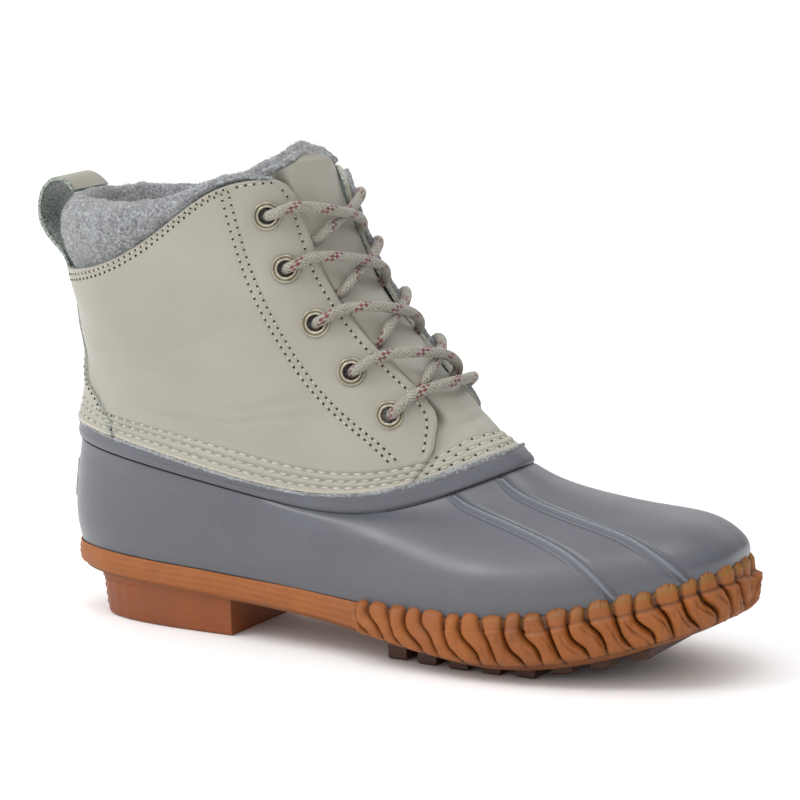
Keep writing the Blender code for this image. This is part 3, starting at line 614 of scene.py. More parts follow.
def sole_edge(turns, phase, seed):
    """Rows of the edge from the deck to the tread, marks for tips, and painted shade in grooves and below."""
    deck = place(SHELL, 0.0, turns)
    normal = edge_normals(turns)
    share = (1.0 - np.cos(np.radians(turns))) / 2.0
    low = smooth_curve(HEIGHT_AT, LOWER_EDGE, share)
    crown = smooth_curve(HEIGHT_AT, CROWN, share)
    rand = np.clip((deck[:, 0] - RAND_FROM) / RAND_RAMP, 0.0, 1.0)
    toward_toe = np.clip((deck[:, 0] - 130.0) / 90.0, 0.0, 1.0)
    change = np.random.default_rng(seed).uniform(-1.0, 1.0, (5, LOBES + 2))
    rows, tips, deep_shades = [], [], []
    wave = 0.35 * np.sin(deck[:, 0] / 6.3) + 0.2 * np.sin(deck[:, 0] / 2.7 + 1.0)

    def add_row(out, z, tip, deep):
        rows.append(np.column_stack([deck[:, :2] + normal * out[:, None], z]))
        tips.append(tip)
        deep_shades.append(deep)

    nothing = np.zeros(len(deck))
    add_row(nothing + GAP, deck[:, 2] - GAP, nothing, nothing)
    for down in np.linspace(0.0, 1.0, 36):
        lean = np.interp(down, (0.0, 0.18, 0.4, 0.75, 1.0), (0.0, 0.05, 0.30, 0.80, 1.05))
        local = phase - lean + rand * 0.11 * np.sin(2.3 * phase + 4.0 * down + seed)
        finger = np.clip(np.floor(local).astype(int), 0, LOBES)
        within = local - np.floor(local)
        jitter = change[:, finger]
        tab_part = np.clip((0.28 - down + 0.03 * jitter[0]) / 0.06, 0.0, 1.0)
        narrow = 0.98 - (0.10 + 0.08 * jitter[2]) * tab_part
        skew = np.clip(within, 0.0, 1.0) ** (1.0 - 0.22 * (1.0 - tab_part))
        round_top = np.sqrt(np.clip(1.0 - (np.abs(2.0 * skew - 1.0) / narrow) ** 2.2, 0.0, 1.0))
        smooth_finger = np.interp(down, *SMOOTH_FINGER)
        ledge_at = 0.25 + 0.05 * jitter[0]
        flap = np.interp(down, (0.0, 0.05, 0.2), (0.0, 0.36, 0.5))
        lump = np.interp(down, (0.0, 0.55, 0.85, 1.0), (1.08, 1.05, 0.8, 0.1))
        folded = flap + (lump - flap) * np.clip((down - ledge_at) / 0.05 + 0.5, 0.0, 1.0)
        profile = smooth_finger + (folded - smooth_finger) * toward_toe
        on_body = np.clip((down - ledge_at) * 7.0, 0.0, 1.0)
        crinkle = np.sin(within * 17.0 + jitter[1] * 6.0 + down * 15.0)
        crinkle = crinkle + 0.8 * np.sin(within * 31.0 - down * 23.0 + jitter[3] * 8.0)
        crinkle = 0.2 * (0.25 + toward_toe) * crinkle * on_body
        second_at = 0.62 + 0.16 * jitter[2] + 0.3 * (down - 0.6)
        second = -1.0 * toward_toe * np.exp(-((within - second_at) / 0.06) ** 2) * on_body
        body = 0.35 + 4.3 * profile * (0.32 + 0.68 * round_top) * (1.0 + 0.16 * jitter[3])
        body += (crinkle + second) * round_top
        groove = np.clip(1.0 - round_top, 0.0, 1.0) ** 1.3
        body -= 2.3 * groove * profile * (1.0 - 0.7 * tab_part)
        plain = 0.4 + 0.9 * np.sin(np.pi * min(1.0, down * 1.15)) ** 0.7 + wave * np.sin(np.pi * down) ** 0.6
        plain += 0.12 * np.sin(down * 26.0 + 1.5 * np.sin(deck[:, 0] / 15.0))
        if down > 0.86:
            plain = plain - (down - 0.86) * 14.0
        out = plain * (1.0 - rand) + body * rand
        tab = (0.3 + (TAB_HEIGHT - 0.1 + 0.7 * jitter[4]) * round_top ** 1.2) * rand
        drop = 0.08 * np.sin(deck[:, 0] / 7.7)
        z = low + (deck[:, 2] - GAP - low) * (1.0 - down) - down * 0.3 * rand + drop * (1.0 - rand)
        z += tab * np.clip(1.0 - down * 6.0, 0.0, 1.0) + 0.2 * (1.0 - rand) * (1.0 - down) ** 3
        z += 0.5 * jitter[1] * rand * (1.0 - round_top) * down
        ragged = (np.sin(within * 23.0 + jitter[1] * 9.0) + np.sin(within * 47.0 + jitter[3] * 9.0)) * 0.32
        z += ragged * toward_toe * np.clip(1.0 - down * 10.0, 0.0, 1.0) * round_top * rand
        worn = 0.35 + 0.45 * np.abs(np.sin(within * 17.0 + jitter[0] * 5.0))
        tip = rand * toward_toe * np.clip(1.0 - abs(down - 0.05) / 0.055, 0.0, 1.0) * worn
        # Painted shade in the grooves, on the lowest rows, under each tab's ledge and in each finger's second
        # crease
        deep = rand * np.clip(groove * 1.15 - 0.15, 0.0, 1.0) * (1.0 - 0.4 * tab_part)
        deep = deep + np.clip((down - 0.97) / 0.03, 0.0, 1.0) * 0.5
        deep = deep + rand * toward_toe * 0.6 * np.exp(-((down - ledge_at + 0.04) / 0.03) ** 2)
        deep = deep - 0.7 * rand * second * round_top * 0.5
        add_row(out, z, tip, np.clip(deep, 0.0, 1.0))
    # The rows under the edge carry painted shade too
    add_row(nothing - 1.6 - 0.5 * rand, low - 0.5 - 0.25 * crown, nothing, nothing + 0.3)
    add_row(nothing + 0.5 * TREAD_INSET, low - 0.65 * crown - 0.3, nothing, nothing + 0.3)
    add_row(nothing + TREAD_INSET, low - crown, nothing, nothing + 0.2)
    return np.array(rows), np.array(tips), np.array(deep_shades)


lateral_edge, lateral_tips, lateral_deep_shades = sole_edge(columns, phase, 5)
medial_edge, medial_tips, medial_deep_shades = sole_edge(360.0 - columns, phase, 9)
print("rows down the edge:", len(lateral_edge))

# %% [markdown]
# ## Heel block, tread bars and one body
# The heel block is a D with a straight breast, a little wider at its top, and eight bars cross the tread.
# Each is a separate closed body set into the sole from below, so the joints stay crisp.

# %% Sole body
HEEL_FRONT = 28.0
HEEL_BACK = -41.0
HEEL_HALF_WIDTH = 29.0
HEEL_TOP = 17.5
HEEL_FLARE = 2.4
sections, tip_marks, deep_shade_marks = [], [], []
for i in range(len(columns)):
    left, right = lateral_edge[:, i].copy(), medial_edge[:, i].copy()
    if 0.5 * (right[-1][1] - left[-1][1]) < 2.0:
        centre = 0.5 * (right[-1] + left[-1])
        for row, pull in ((-1, 1.0), (-2, 0.6)):
            for side, shift in ((left, -1.0), (right, 1.0)):
                inner_x = np.clip(centre[0], HEEL_BACK - 8.0, 223.0)
                side[row][0] += (inner_x - side[row][0]) * pull
                side[row][1] += (centre[1] + shift * (1.0 + 3.0 * (1.0 - pull)) - side[row][1]) * pull
    sections.append(np.concatenate([left, right[::-1]]))
    tip_marks.append(np.concatenate([lateral_tips[:, i], medial_tips[::-1, i]]))
    deep_shade_marks.append(np.concatenate([lateral_deep_shades[:, i], medial_deep_shades[::-1, i]]))
sections = np.array(sections)
count, around = sections.shape[:2]
sole_faces = [grid_faces(count, around, wrap_columns=True)[:, ::-1]] + wall_ends(count, around)
make_piece(
    "gum_sole", sections, sole_faces, gum.material, ("outsole",), "gum",
    {"tip": np.array(tip_marks), "deep": np.array(deep_shade_marks), "heel": np.zeros((count, around))}, sharp=75.0,
)


# %% Heel block and tread bars
def heel_ring(grow, z):
    """D-shaped outline with rounded corners at the breast."""
    angle = np.pi * (np.arange(121)) / 120.0
    depth = HEEL_FRONT - HEEL_BACK
    x = HEEL_FRONT - (depth + grow) * np.abs(np.sin(angle)) ** 0.62
    y = -(HEEL_HALF_WIDTH + 0.4 * grow) * np.sign(np.cos(angle)) * np.abs(np.cos(angle)) ** 0.62
    wobble = 0.12 * np.sin(angle * 37.0) * (1.0 if 1.0 < z < 15.0 else 0.0)
    return np.column_stack([x, y + wobble, np.full(len(x), z)])


heel_rings = [heel_ring(-1.2, 0.0), heel_ring(-0.2, 0.35), heel_ring(0.1, 1.1)]
for z in np.linspace(2.0, 13.5, 16):
    heel_rings.append(heel_ring(HEEL_FLARE * z / HEEL_TOP + 0.25 * math.sin(z * 1.9), z))
heel_rings += [heel_ring(1.6, 14.1), heel_ring(1.5, 14.5), heel_ring(2.6, 15.0), heel_ring(2.4, 17.2)]


def gum_part(name, points, faces, heel, deep, sharp):
    """Plain gum piece whose marks have one value each."""
    values = {"heel": heel, "tip": 0.0, "deep": deep}
    marks = {mark: np.full(len(points), value) for mark, value in values.items()}
    make_piece(name, points, faces, gum.material, slot="gum", sharp=sharp, marks=marks)


gum_part("heel_block", *closed_strip(heel_rings), heel=1.0, deep=0.0, sharp=50.0)

# %% Tread bars
LUG_LENGTH = 8.0
LUG_DEPTH = 2.4
LUGS = (104.0, 118.0, 132.0, 146.0, 160.0, 174.0, 188.0, 202.0)
FLAT_FROM = 100.0
FLAT_TO = 165.0


def tread_height(x):
    share = (x + 55.5) / 286.5
    return (smooth_curve(HEIGHT_AT, LOWER_EDGE, share) - smooth_curve(HEIGHT_AT, CROWN, share))[0]


lug_points, lug_faces = [], []
outline_turns = np.linspace(1.0, 179.0, 179)
lateral_line = place(SHELL, 0.0, outline_turns)
medial_line = place(SHELL, 0.0, 360.0 - outline_turns)
for x in LUGS:
    lateral = np.interp(x, lateral_line[:, 0], lateral_line[:, 1]) - TREAD_INSET + 1.5
    medial = np.interp(x, medial_line[:, 0], medial_line[:, 1]) + TREAD_INSET - 1.5
    bar = []
    back_end = x - LUG_LENGTH / 2.0
    front_end = x + LUG_LENGTH / 2.0
    for end, trim in ((back_end, 0.7), (back_end + 0.7, 0.0), (front_end - 0.7, 0.0), (front_end, 0.7)):
        under = tread_height(end)
        bottom = 0.0 if FLAT_FROM <= x <= FLAT_TO else max(under - LUG_DEPTH, 0.0)
        corners = (
            (lateral, under + 1.2), (lateral, bottom + 0.7), (lateral + 0.7, bottom + 0.4 * trim),
            (medial - 0.7, bottom + 0.4 * trim), (medial, bottom + 0.7), (medial, under + 1.2),
        )
        bar.append([(end, y, z) for y, z in corners])
    points, faces = closed_strip(bar)
    lug_faces += [face + len(lug_points) * len(points) for face in faces]
    lug_points.append(points)
# The tread bars carry painted shade through deep=0.85
gum_part("tread_bars", np.concatenate(lug_points), lug_faces, heel=0.6, deep=0.85, sharp=40.0)

# %% [markdown]
# ## The leather shaft
# The shaft is greige leather: two quarters whose front edges carry the eyelets, a raised strip up the
# back, and a hem that is sewn through to the rubber with three rows of thick thread. Real leather is
# pulled down by each row of stitches and swells between them. That could be a bump map, but the edges
# and swells show in the outline, so every vertex is moved by its distance in millimetres from each seam.

# %% Leather finish
def leather_finish(name, dark, middle, light, gloss):
    """Grained leather in three tones, with marks for raw edges, shadow in seams and suede."""
    dark, middle, light = shade(*dark), shade(*middle), shade(*light)
    made = Finish(name, Coat_Weight=0.22, Coat_Roughness=0.30)
    patches = made.noise(22.0, 4.0, 0.55)
    pores = made.cells(620.0, "F1")
    grain = made.noise(420.0, 4.0, 0.65)
    wrinkle = made.cells(150.0, "DISTANCE_TO_EDGE", made.stretch((1.0, 1.0, 1.25)))
    tone = made.ramp(patches, (0.25, dark), (0.55, middle), (0.85, light))
    tone = made.mix(made.remap(pores, 0.0, 0.25, 0.22, 0.0), tone, dark)
    tone = made.mix(made.remap(grain, 0.55, 0.8, 0.0, 0.25), tone, light)
    frayed = made.remap(made.noise(900.0), 0.3, 0.7, 0.5, 1.0)
    tone = made.mix(made.maths("MULTIPLY", made.mark("raw"), frayed), tone, shade(196, 188, 168))
    tone = made.mix(made.maths("MULTIPLY", made.mark("shadow"), 0.85), tone, shade(92, 88, 76))
    flecks = made.ramp(made.noise(1100.0, 2.0), (0.40, shade(74, 82, 77)), (0.60, shade(160, 168, 160)))
    tone = made.mix(made.mark("suede"), tone, flecks)
    made.colour(tone)
    made.roughness(made.ramp(patches, (0.3, gloss), (0.7, gloss + 0.1)))
    made.bump((patches, 0.0009, 0.3), (wrinkle, 0.00012, 0.35), (grain, 0.00010, 0.5), (pores, 0.00004, 0.5))
    return made.material


leather = leather_finish("greige_leather", (145, 141, 129), (153, 149, 137), (161, 158, 146), 0.35)
strap_leather = leather_finish("strap_leather", (140, 136, 122), (148, 144, 130), (158, 154, 140), 0.40)
print("finishes", leather.name, strap_leather.name)

# %% Rows and columns that follow the facing's edge and the back strip
LEATHER = 2.3
BACK_STRIP = 1.1
FACING_EDGE = (
    (0.0, 131.4), (0.05, 137.0), (0.10, 142.2), (0.16, 146.5), (0.22, 151.5), (0.26, 153.8), (0.37, 156.0),
    (0.56, 154.6), (0.75, 155.0), (0.81, 156.0), (0.92, 157.3), (0.958, 156.0), (0.985, 152.5), (1.0, 147.0),
)
STRIP_EDGE = ((0.0, 46.0), (0.10, 43.0), (0.22, 36.0), (0.32, 24.0), (0.50, 17.0), (0.75, 14.0), (1.0, 13.0))
EYELET_HEIGHTS = (0.905, 0.765, 0.617, 0.463, 0.283)
EYELET_TURN = 137.3
HEM_ROWS = (2.8, 6.3, 9.8)
HEM_SWELLS = (4.5, 8.0)
COLLAR_ROWS = (2.3, 4.6)
# Height share, and the turn of the seam where the facing meets the quarter
QUARTER_SEAM = ((0.0, 0.09, 0.19, 0.28, 0.38, 0.60, 1.0), (130.5, 128.6, 125.7, 122.7, 120.7, 120.0, 120.0))


def read(table, at, column=1):
    """A column of a table of rows, read at places in its first column."""
    return np.interp(at, [row[0] for row in table], [row[column] for row in table])


leather_rows = np.concatenate([
    np.linspace(0.0, 0.15, 32), np.linspace(0.16, 0.90, 74), np.linspace(0.91, 0.99, 13), [0.995, 1.0],
])
edge_at = read(FACING_EDGE, leather_rows)
strip_at = read(STRIP_EDGE, leather_rows)
quarter = np.concatenate([[0.0, 0.004], np.linspace(0.012, 0.985, 108), [0.993, 1.0]])
strip_half = np.linspace(0.0, 1.0, 17)[:-1]
half = np.concatenate([
    strip_half[None, :] * strip_at[:, None],
    strip_at[:, None] + (edge_at - strip_at)[:, None] * quarter[None, :],
], axis=1)
leather_turns = np.concatenate([-half[:, :0:-1], half], axis=1)
level = np.broadcast_to(leather_rows[:, None], leather_turns.shape)
bare = place(SHAFT, level, leather_turns)
print("leather grid", leather_turns.shape)

# %% Distances in millimetres from every seam and edge
up_steps = np.linalg.norm(np.diff(bare, axis=0), axis=-1)
from_hem = np.concatenate([np.zeros((1, bare.shape[1])), np.cumsum(up_steps, axis=0)])
from_top = from_hem[-1:] - from_hem
round_steps = np.linalg.norm(np.diff(bare, axis=1), axis=-1)
from_side = np.concatenate([np.zeros((bare.shape[0], 1)), np.cumsum(round_steps, axis=1)], axis=1)
from_facing = np.minimum(from_side, from_side[:, -1:] - from_side)
fold_at = np.abs(leather_turns)
degree = np.gradient(from_side, axis=1) / np.maximum(np.gradient(leather_turns, axis=1), 1e-6)
quarter_line = smooth_curve(*QUARTER_SEAM, leather_rows)[:, None]
from_quarter = (fold_at - quarter_line) * degree
from_strip = (fold_at - strip_at[:, None]) * degree
print("leather height at the side", from_hem[-1, 20].round(1), "mm")


# %% Relief of the leather
def trough(distance, depth, width):
    """Soft groove along a line, where distance is measured from that line."""
    return -depth * np.exp(-(distance / width) ** 2)


def sewn_hem(height, depth, swell):
    """Grooves of the three rows of stitches on the hem, and the swells between them."""
    grooves = sum(trough(height - row, depth, 0.75) for row in HEM_ROWS)
    return grooves - sum(trough(height - row, swell, 1.0) for row in HEM_SWELLS)


relief = np.where(from_strip <= 0.02, BACK_STRIP, 0.0)
relief = relief + 0.95 * np.exp(-np.clip(from_hem, 0.0, None) / 2.6)
on_hem = np.clip((13.5 - from_hem) / 3.0, 0.0, 1.0)
relief += sewn_hem(from_hem, 0.55, 0.28)
relief += 0.22 * np.exp(-((from_hem - 11.6) / 1.3) ** 2)
pucker = 0.5 + 0.5 * np.cos(2.0 * np.pi * from_side / 4.8)
relief -= 0.18 * pucker * on_hem
above = np.clip((from_hem - 10.0) / 4.0, 0.0, 1.0)
relief += above * (trough(from_facing - 4.0, 0.28, 0.6) + 0.12 * np.exp(-((from_facing - 1.8) / 1.4) ** 2))
for row in (0.0, 3.0):
    relief += above * trough(from_quarter - row, 0.32, 0.6) * np.clip((from_top - 1.5) / 2.0, 0.0, 1.0)
relief += above * 0.14 * np.exp(-((from_quarter - 1.5) / 0.8) ** 2)
collar_side = np.clip((122.5 - fold_at) / 1.5, 0.0, 1.0) * np.clip(from_strip / 1.5, 0.0, 1.0)
for row in COLLAR_ROWS:
    relief += collar_side * trough(from_top - row, 0.30, 0.6)
relief += trough(from_strip + 2.5, 0.28, 0.6) * above
facing_side = np.clip((fold_at - 122.5) / 2.0, 0.0, 1.0)
relief += facing_side * trough(from_top - 3.2, 0.26, 0.6) * np.clip((from_facing - 3.0) / 1.5, 0.0, 1.0)

eyelets = []
for height in EYELET_HEIGHTS:
    for side in (1, -1):
        centre = place(SHAFT, height, EYELET_TURN * side)
        away = np.linalg.norm(bare - centre, axis=-1)
        relief -= 0.65 * np.exp(-(away / 6.6) ** 2) - 0.25 * np.exp(-((away - 9.5) / 2.6) ** 2)
        eyelets.append((centre, facing_out(SHAFT, height, EYELET_TURN * side)))

# Soft creases: turn, height share, lean, reach round the boot, reach up, depth
CREASES = (
    (96.0, 0.30, 0.25, 21.0, 0.020, 0.50), (104.0, 0.37, 0.20, 17.0, 0.022, 0.42),
    (70.0, 0.24, -0.15, 20.0, 0.022, 0.38), (60.0, 0.50, -0.10, 22.0, 0.030, 0.30),
    (88.0, 0.62, 0.15, 26.0, 0.035, 0.34), (112.0, 0.52, 0.5, 12.0, 0.024, 0.30),
    (-94.0, 0.30, 0.25, 22.0, 0.020, 0.50), (-106.0, 0.38, 0.20, 16.0, 0.022, 0.40),
    (-72.0, 0.46, -0.1, 24.0, 0.030, 0.34), (-90.0, 0.66, 0.1, 24.0, 0.034, 0.30),
)
for turn, height, lean, reach, tall, depth in CREASES:
    along = (leather_turns - turn) / reach
    line_height = height + lean * 0.12 * along * np.sign(turn) + 0.012 * np.sin(along * 4.0)
    across = (level - line_height) / tall
    ridge = 0.5 * np.exp(-((across - 1.6) / 1.1) ** 2)
    relief += depth * np.exp(-along ** 2) * (ridge - np.exp(-across ** 2))
waves = np.sin(leather_turns / 13.0 + level * 9.0) * np.sin(level * 12.0 + leather_turns / 29.0)
relief += above * 0.5 * waves
relief -= 0.5 * np.clip(1.0 - from_facing / 0.7, 0.0, 1.0) ** 2
relief -= 0.4 * np.clip(1.0 - from_top / 0.8, 0.0, 1.0) ** 2
relief -= 0.35 * np.clip(1.0 - from_hem / 0.7, 0.0, 1.0) ** 2
print("relief from", relief.min().round(2), "to", relief.max().round(2), "mm")

# %% Leather shaft with its eyelet holes
outer = raised(SHAFT, level, leather_turns, relief)
inner = raised(SHAFT, level, leather_turns, -LEATHER)
shaft_columns = level.shape[1]
sections = np.concatenate([outer, inner[::-1]], axis=0).transpose(1, 0, 2)
around = sections.shape[1]
shaft_faces = [grid_faces(shaft_columns, around, wrap_columns=True)[:, ::-1]]
shaft_faces += wall_ends(shaft_columns, around)


def both_faces(outside, inside=None):
    """Marks of the outer face followed by those of the inner face, in the order of the sections."""
    inside = np.zeros_like(outside) if inside is None else inside
    return np.concatenate([outside, inside[::-1]], axis=0).T


raw = np.clip((1.1 - from_hem) / 0.6, 0.0, 1.0) + 0.6 * np.clip((0.5 - from_facing) / 0.4, 0.0, 1.0)
shadow = np.zeros_like(raw)
for row in HEM_ROWS:
    shadow += 0.35 * np.exp(-((from_hem - row) / 0.5) ** 2)
for distance in (from_facing - 4.0, from_quarter, from_quarter - 3.0):
    shadow += 0.22 * above * np.exp(-(distance / 0.45) ** 2)
edge_of_strip = np.exp(-((from_strip - 0.15) / 0.45) ** 2)
lowest = np.ones_like(raw) * (from_hem < 0.01)
leather_shaft = make_piece(
    "leather_shaft", sections, shaft_faces, leather, ("shaft",), "leather",
    {"raw": both_faces(np.clip(raw, 0.0, 1.0), lowest), "shadow": both_faces(np.clip(shadow, 0.0, 1.0)),
     "suede": both_faces(np.clip(edge_of_strip, 0.0, 1.0) * 0.8, np.ones_like(raw))},
)


def ring_frame(out):
    """Two directions across an axis."""
    side = unit(np.cross(out, (0.0, 0.0, 1.0)))
    return side, np.cross(out, side)


EYELET_HOLE = 3.6
HOLE_SIDES = 24
cutter_mesh = bpy.data.meshes.new("eyelet_punch")
punch_points, punch_faces = [], []
for centre, out in eyelets:
    side, up = ring_frame(out)
    low = len(punch_points)
    high = low + HOLE_SIDES
    for away in (-7.0, 4.0):
        for angle in 2.0 * np.pi * np.arange(HOLE_SIDES) / HOLE_SIDES:
            spoke = math.cos(angle) * side + math.sin(angle) * up
            punch_points.append(tuple((centre + away * out + EYELET_HOLE * spoke) * MM))
    for k in range(HOLE_SIDES):
        after = (k + 1) % HOLE_SIDES
        punch_faces.append((low + k, low + after, high + after, high + k))
    punch_faces += [tuple(range(high - 1, low - 1, -1)), tuple(range(high, high + HOLE_SIDES))]
cutter_mesh.from_pydata(punch_points, [], punch_faces)
punch = bpy.data.objects.new("eyelet_punch", cutter_mesh)
bpy.context.scene.collection.objects.link(punch)


def bake_modifiers(piece):
    """Replace a piece's mesh by the result of its modifiers."""
    graph = bpy.context.evaluated_depsgraph_get()
    graph.update()
    baked = bpy.data.meshes.new_from_object(piece.evaluated_get(graph))
    piece.modifiers.clear()
    piece.data = baked
    return piece


holes = leather_shaft.modifiers.new("eyelet_holes", "BOOLEAN")
holes.operation = "DIFFERENCE"
holes.solver = "FAST"
holes.object = punch
bake_modifiers(leather_shaft)
bpy.data.objects.remove(punch, do_unlink=True)
leather_shaft.data.shade_smooth()
leather_shaft.data.set_sharp_from_angle(angle=math.radians(52.0))
print("punched", len(eyelets), "holes;", len(leather_shaft.data.polygons), "faces")

# %% [markdown]
# ## Thread, by Geometry Nodes
# A stitch is one short, fat loop of thread that dives into the leather at both ends. Hundreds of them
# follow the seams. They could be copied in a loop, but a Geometry Nodes tree says the rule itself: turn
# the seam's line into a curve, put a point on it for every pitch, and set a stitch along the tangent.

# %% Stitch tree
def instance_tree(name, inputs, parts, wires):
    """Geometry Nodes tree that sets a shape on points, makes every copy real and paints it.

    Each part is a node type with its settings, and its numbered or named inputs. Each wire says
    from which socket to which, as in "tangent.Tangent align.Vector"; "given" holds the named inputs.
    """
    tree = bpy.data.node_groups.new(name, "GeometryNodeTree")
    for socket, kind in {"Geometry": "Geometry", **inputs, "Material": "Material"}.items():
        tree.interface.new_socket(socket, in_out="INPUT", socket_type="NodeSocket" + kind)
    tree.interface.new_socket("Geometry", in_out="OUTPUT", socket_type="NodeSocketGeometry")
    every_part = {
        "given": ("NodeGroupInput",), **parts,
        "copies": ("GeometryNodeInstanceOnPoints",), "real": ("GeometryNodeRealizeInstances",),
        "paint": ("GeometryNodeSetMaterial",), "result": ("NodeGroupOutput",),
    }
    nodes = {}
    for part, (kind, *more) in every_part.items():
        nodes[part] = tree.nodes.new(kind)
        settings, values = (*more, {}, {})[:2]
        for setting, value in settings.items():
            setattr(nodes[part], setting, value)
        for socket, value in values.items():
            nodes[part].inputs[socket].default_value = value
    ending = (
        "copies.Instances real.Geometry", "real.Geometry paint.Geometry",
        "given.Material paint.Material", "paint.Geometry result.Geometry",
    )
    for wire in (*wires, *ending):
        (source, out_socket), (target, in_socket) = (end.split(".") for end in wire.split(" ", 1))
        out_socket = int(out_socket) if out_socket.isdigit() else out_socket.replace("_", " ")
        in_socket = in_socket.replace("_", " ")
        tree.links.new(nodes[source].outputs[out_socket], nodes[target].inputs[in_socket])
    print(name, "tree has", len(tree.nodes), "nodes")
    return tree


def run_tree(name, tree, mesh, values):
    """Run a tree on a mesh, keep the result as a plain mesh that rides on the boot."""
    piece = bpy.data.objects.new(name, mesh)
    bpy.context.scene.collection.objects.link(piece)
    modifier = piece.modifiers.new("nodes", "NODES")
    modifier.node_group = tree
    for item in tree.interface.items_tree:
        if item.in_out == "INPUT" and item.name in values:
            modifier[item.identifier] = values[item.name]
    bake_modifiers(piece)
    piece.data.shade_smooth()
    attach(piece, "root")
    print(f"{name}: {sum(len(p.vertices) - 2 for p in piece.data.polygons)} triangles")
    return piece


stitch_tree = instance_tree(
    "stitches", {"Pitch": "Float", "Length": "Float", "Width": "Float"},
    {
        "seam": ("GeometryNodeMeshToCurve",),
        "spaced": ("GeometryNodeResampleCurve", {"mode": "LENGTH"}),
        "tangent": ("GeometryNodeInputTangent",),
        "align": ("FunctionNodeAlignRotationToVector", {"axis": "X"}),
        "bead": ("GeometryNodeMeshUVSphere", {}, {"Segments": 8, "Rings": 6, "Radius": 0.5}),
        "size": ("ShaderNodeCombineXYZ",),
        "stitch": ("GeometryNodeTransform",),
    },
    (
        "given.Geometry seam.Mesh", "seam.Curve spaced.Curve", "given.Pitch spaced.Length",
        "tangent.Tangent align.Vector", "given.Length size.X", "given.Width size.Y", "given.Width size.Z",
        "bead.Mesh stitch.Geometry", "size.Vector stitch.Scale", "spaced.Curve copies.Points",
        "stitch.Geometry copies.Instance", "align.Rotation copies.Rotation",
    ),
)

# %% Thread finish, and painted shade for the stitch holes
thread = Finish("pale_thread", Roughness=0.7, Sheen_Weight=0.2)
twist_sizes = {"Vector": thread.coordinates, "Scale": 900.0, "Distortion": 2.0}
twist = thread.node("TexWave", twist_sizes).outputs["Fac"]
thread.colour(thread.ramp(thread.noise(300.0), (0.3, shade(174, 170, 154)), (0.7, shade(196, 192, 177))))
thread.bump((twist, 0.0001, 0.6))
# Painted shade: dark beads stand for the shadow in each stitch hole
hole_shade = Finish("painted_hole_shade", Roughness=0.9)
hole_shade.colour(hole_shade.ramp(hole_shade.noise(500.0), (0.3, shade(34, 32, 28)), (0.7, shade(52, 49, 42))))


def crossing(points, distances, wanted):
    """Point of a row of points where its distance from a seam reaches the wanted one."""
    order = np.argsort(distances)
    at = np.interp(wanted, distances[order], order.astype(float))
    base = int(min(at, len(distances) - 2))
    return points[base] + (points[base + 1] - points[base]) * (at - base)


def level_line(grid, wanted, first, last):
    """Line on the leather where a distance equals a value, column by column."""
    return np.array([crossing(outer[:, column], grid[:, column], wanted) for column in range(first, last)])


def upright_line(grid, wanted, rows, side):
    """Line on the leather where a distance equals a value, row by row, on one side of the back."""
    centre = shaft_columns // 2
    return np.array([crossing(outer[row, centre::side], grid[row, centre::side], wanted) for row in rows])


def even_steps(line, step, start=0.0):
    """Line of even steps, begun a little later where holes alternate with stitches."""
    run = running_length(line)
    at = np.arange(start, run[-1], step)
    return np.stack([np.interp(at, run, line[:, k]) for k in range(3)], axis=1)


def line_mesh(name, lines):
    """Mesh of edges alone, which a tree turns into curves."""
    points, edges = [], []
    for line in lines:
        first = len(points)
        points += (line * MM).tolist()
        edges += [(first + k, first + k + 1) for k in range(len(line) - 1)]
    mesh = bpy.data.meshes.new(name)
    mesh.from_pydata(points, edges, [])
    return mesh


# %% Seams of the shaft
hem_lines = [level_line(from_hem, row, 3, shaft_columns - 3) for row in HEM_ROWS]
# Distance grid, its value on the seam, and the height shares between which the seam runs
UPRIGHT_SEAMS = (
    (from_quarter, 0.0, 0.105, 0.972), (from_quarter, 3.0, 0.105, 0.972),
    (-from_facing, -4.0, 0.11, 0.975), (from_strip, -2.5, 0.14, 0.985),
)
# Distance from the top edge, and the turns between which the seam runs
TOP_SEAMS = tuple((row, 14.0, 121.5) for row in COLLAR_ROWS) + ((3.2, 124.0, 143.5),)
fine_lines = []
for side in (1, -1):
    for grid, wanted, low, high in UPRIGHT_SEAMS:
        rows = np.flatnonzero((leather_rows > low) & (leather_rows < high))
        fine_lines.append(upright_line(grid, wanted, rows, side))
for side in (1, -1):
    for row, low, high in TOP_SEAMS:
        used = np.flatnonzero((side * leather_turns[-1] > low) & (side * leather_turns[-1] < high))
        fine_lines.append(level_line(from_top, row, used[0], used[-1]))


SEAM_STEP = 0.5


def sew(name, lines, start, pitch, length, width, material):
    """Stitches, or dark beads of painted shade in their holes, along lines, with their sizes in millimetres.
    """
    seam = line_mesh(name + "_seam", [even_steps(line, SEAM_STEP, start) for line in lines])
    sizes = {"Pitch": pitch * MM, "Length": length * MM, "Width": width * MM, "Material": material}
    return run_tree(name, stitch_tree, seam, sizes)


sew("hem_stitches", hem_lines, 0.0, 4.8, 3.7, 1.15, thread.material)
sew("hem_holes", hem_lines, 2.4, 4.8, 1.15, 0.95, hole_shade.material)
sew("fine_stitches", fine_lines, 1.5, 3.0, 2.2, 0.75, thread.material)
sew("stitch_holes", fine_lines, 0.0, 3.0, 1.25, 0.98, hole_shade.material)

# %% [markdown]
# ## Eyelets
# Each eyelet is a rolled ring of antique nickel whose inner collar is pressed through the leather. A
# lathe would turn it, so one profile is turned here, and a tree sets it on ten points, each with the
# direction of the leather under it. Nickel plate is a metal with small dents and a warm tarnish.

# %% Nickel finish
nickel = Finish("antique_nickel", Metallic=1.0)
tarnish = nickel.noise(140.0, 3.0, 0.5)
NICKEL_TONES = ((0.3, shade(146, 140, 123)), (0.55, shade(172, 166, 149)), (0.8, shade(190, 186, 171)))
nickel.colour(nickel.ramp(tarnish, *NICKEL_TONES))
nickel.roughness(nickel.ramp(tarnish, (0.3, 0.3), (0.7, 0.2)))
nickel.bump((nickel.noise(500.0, 2.0), 0.00003, 0.25))

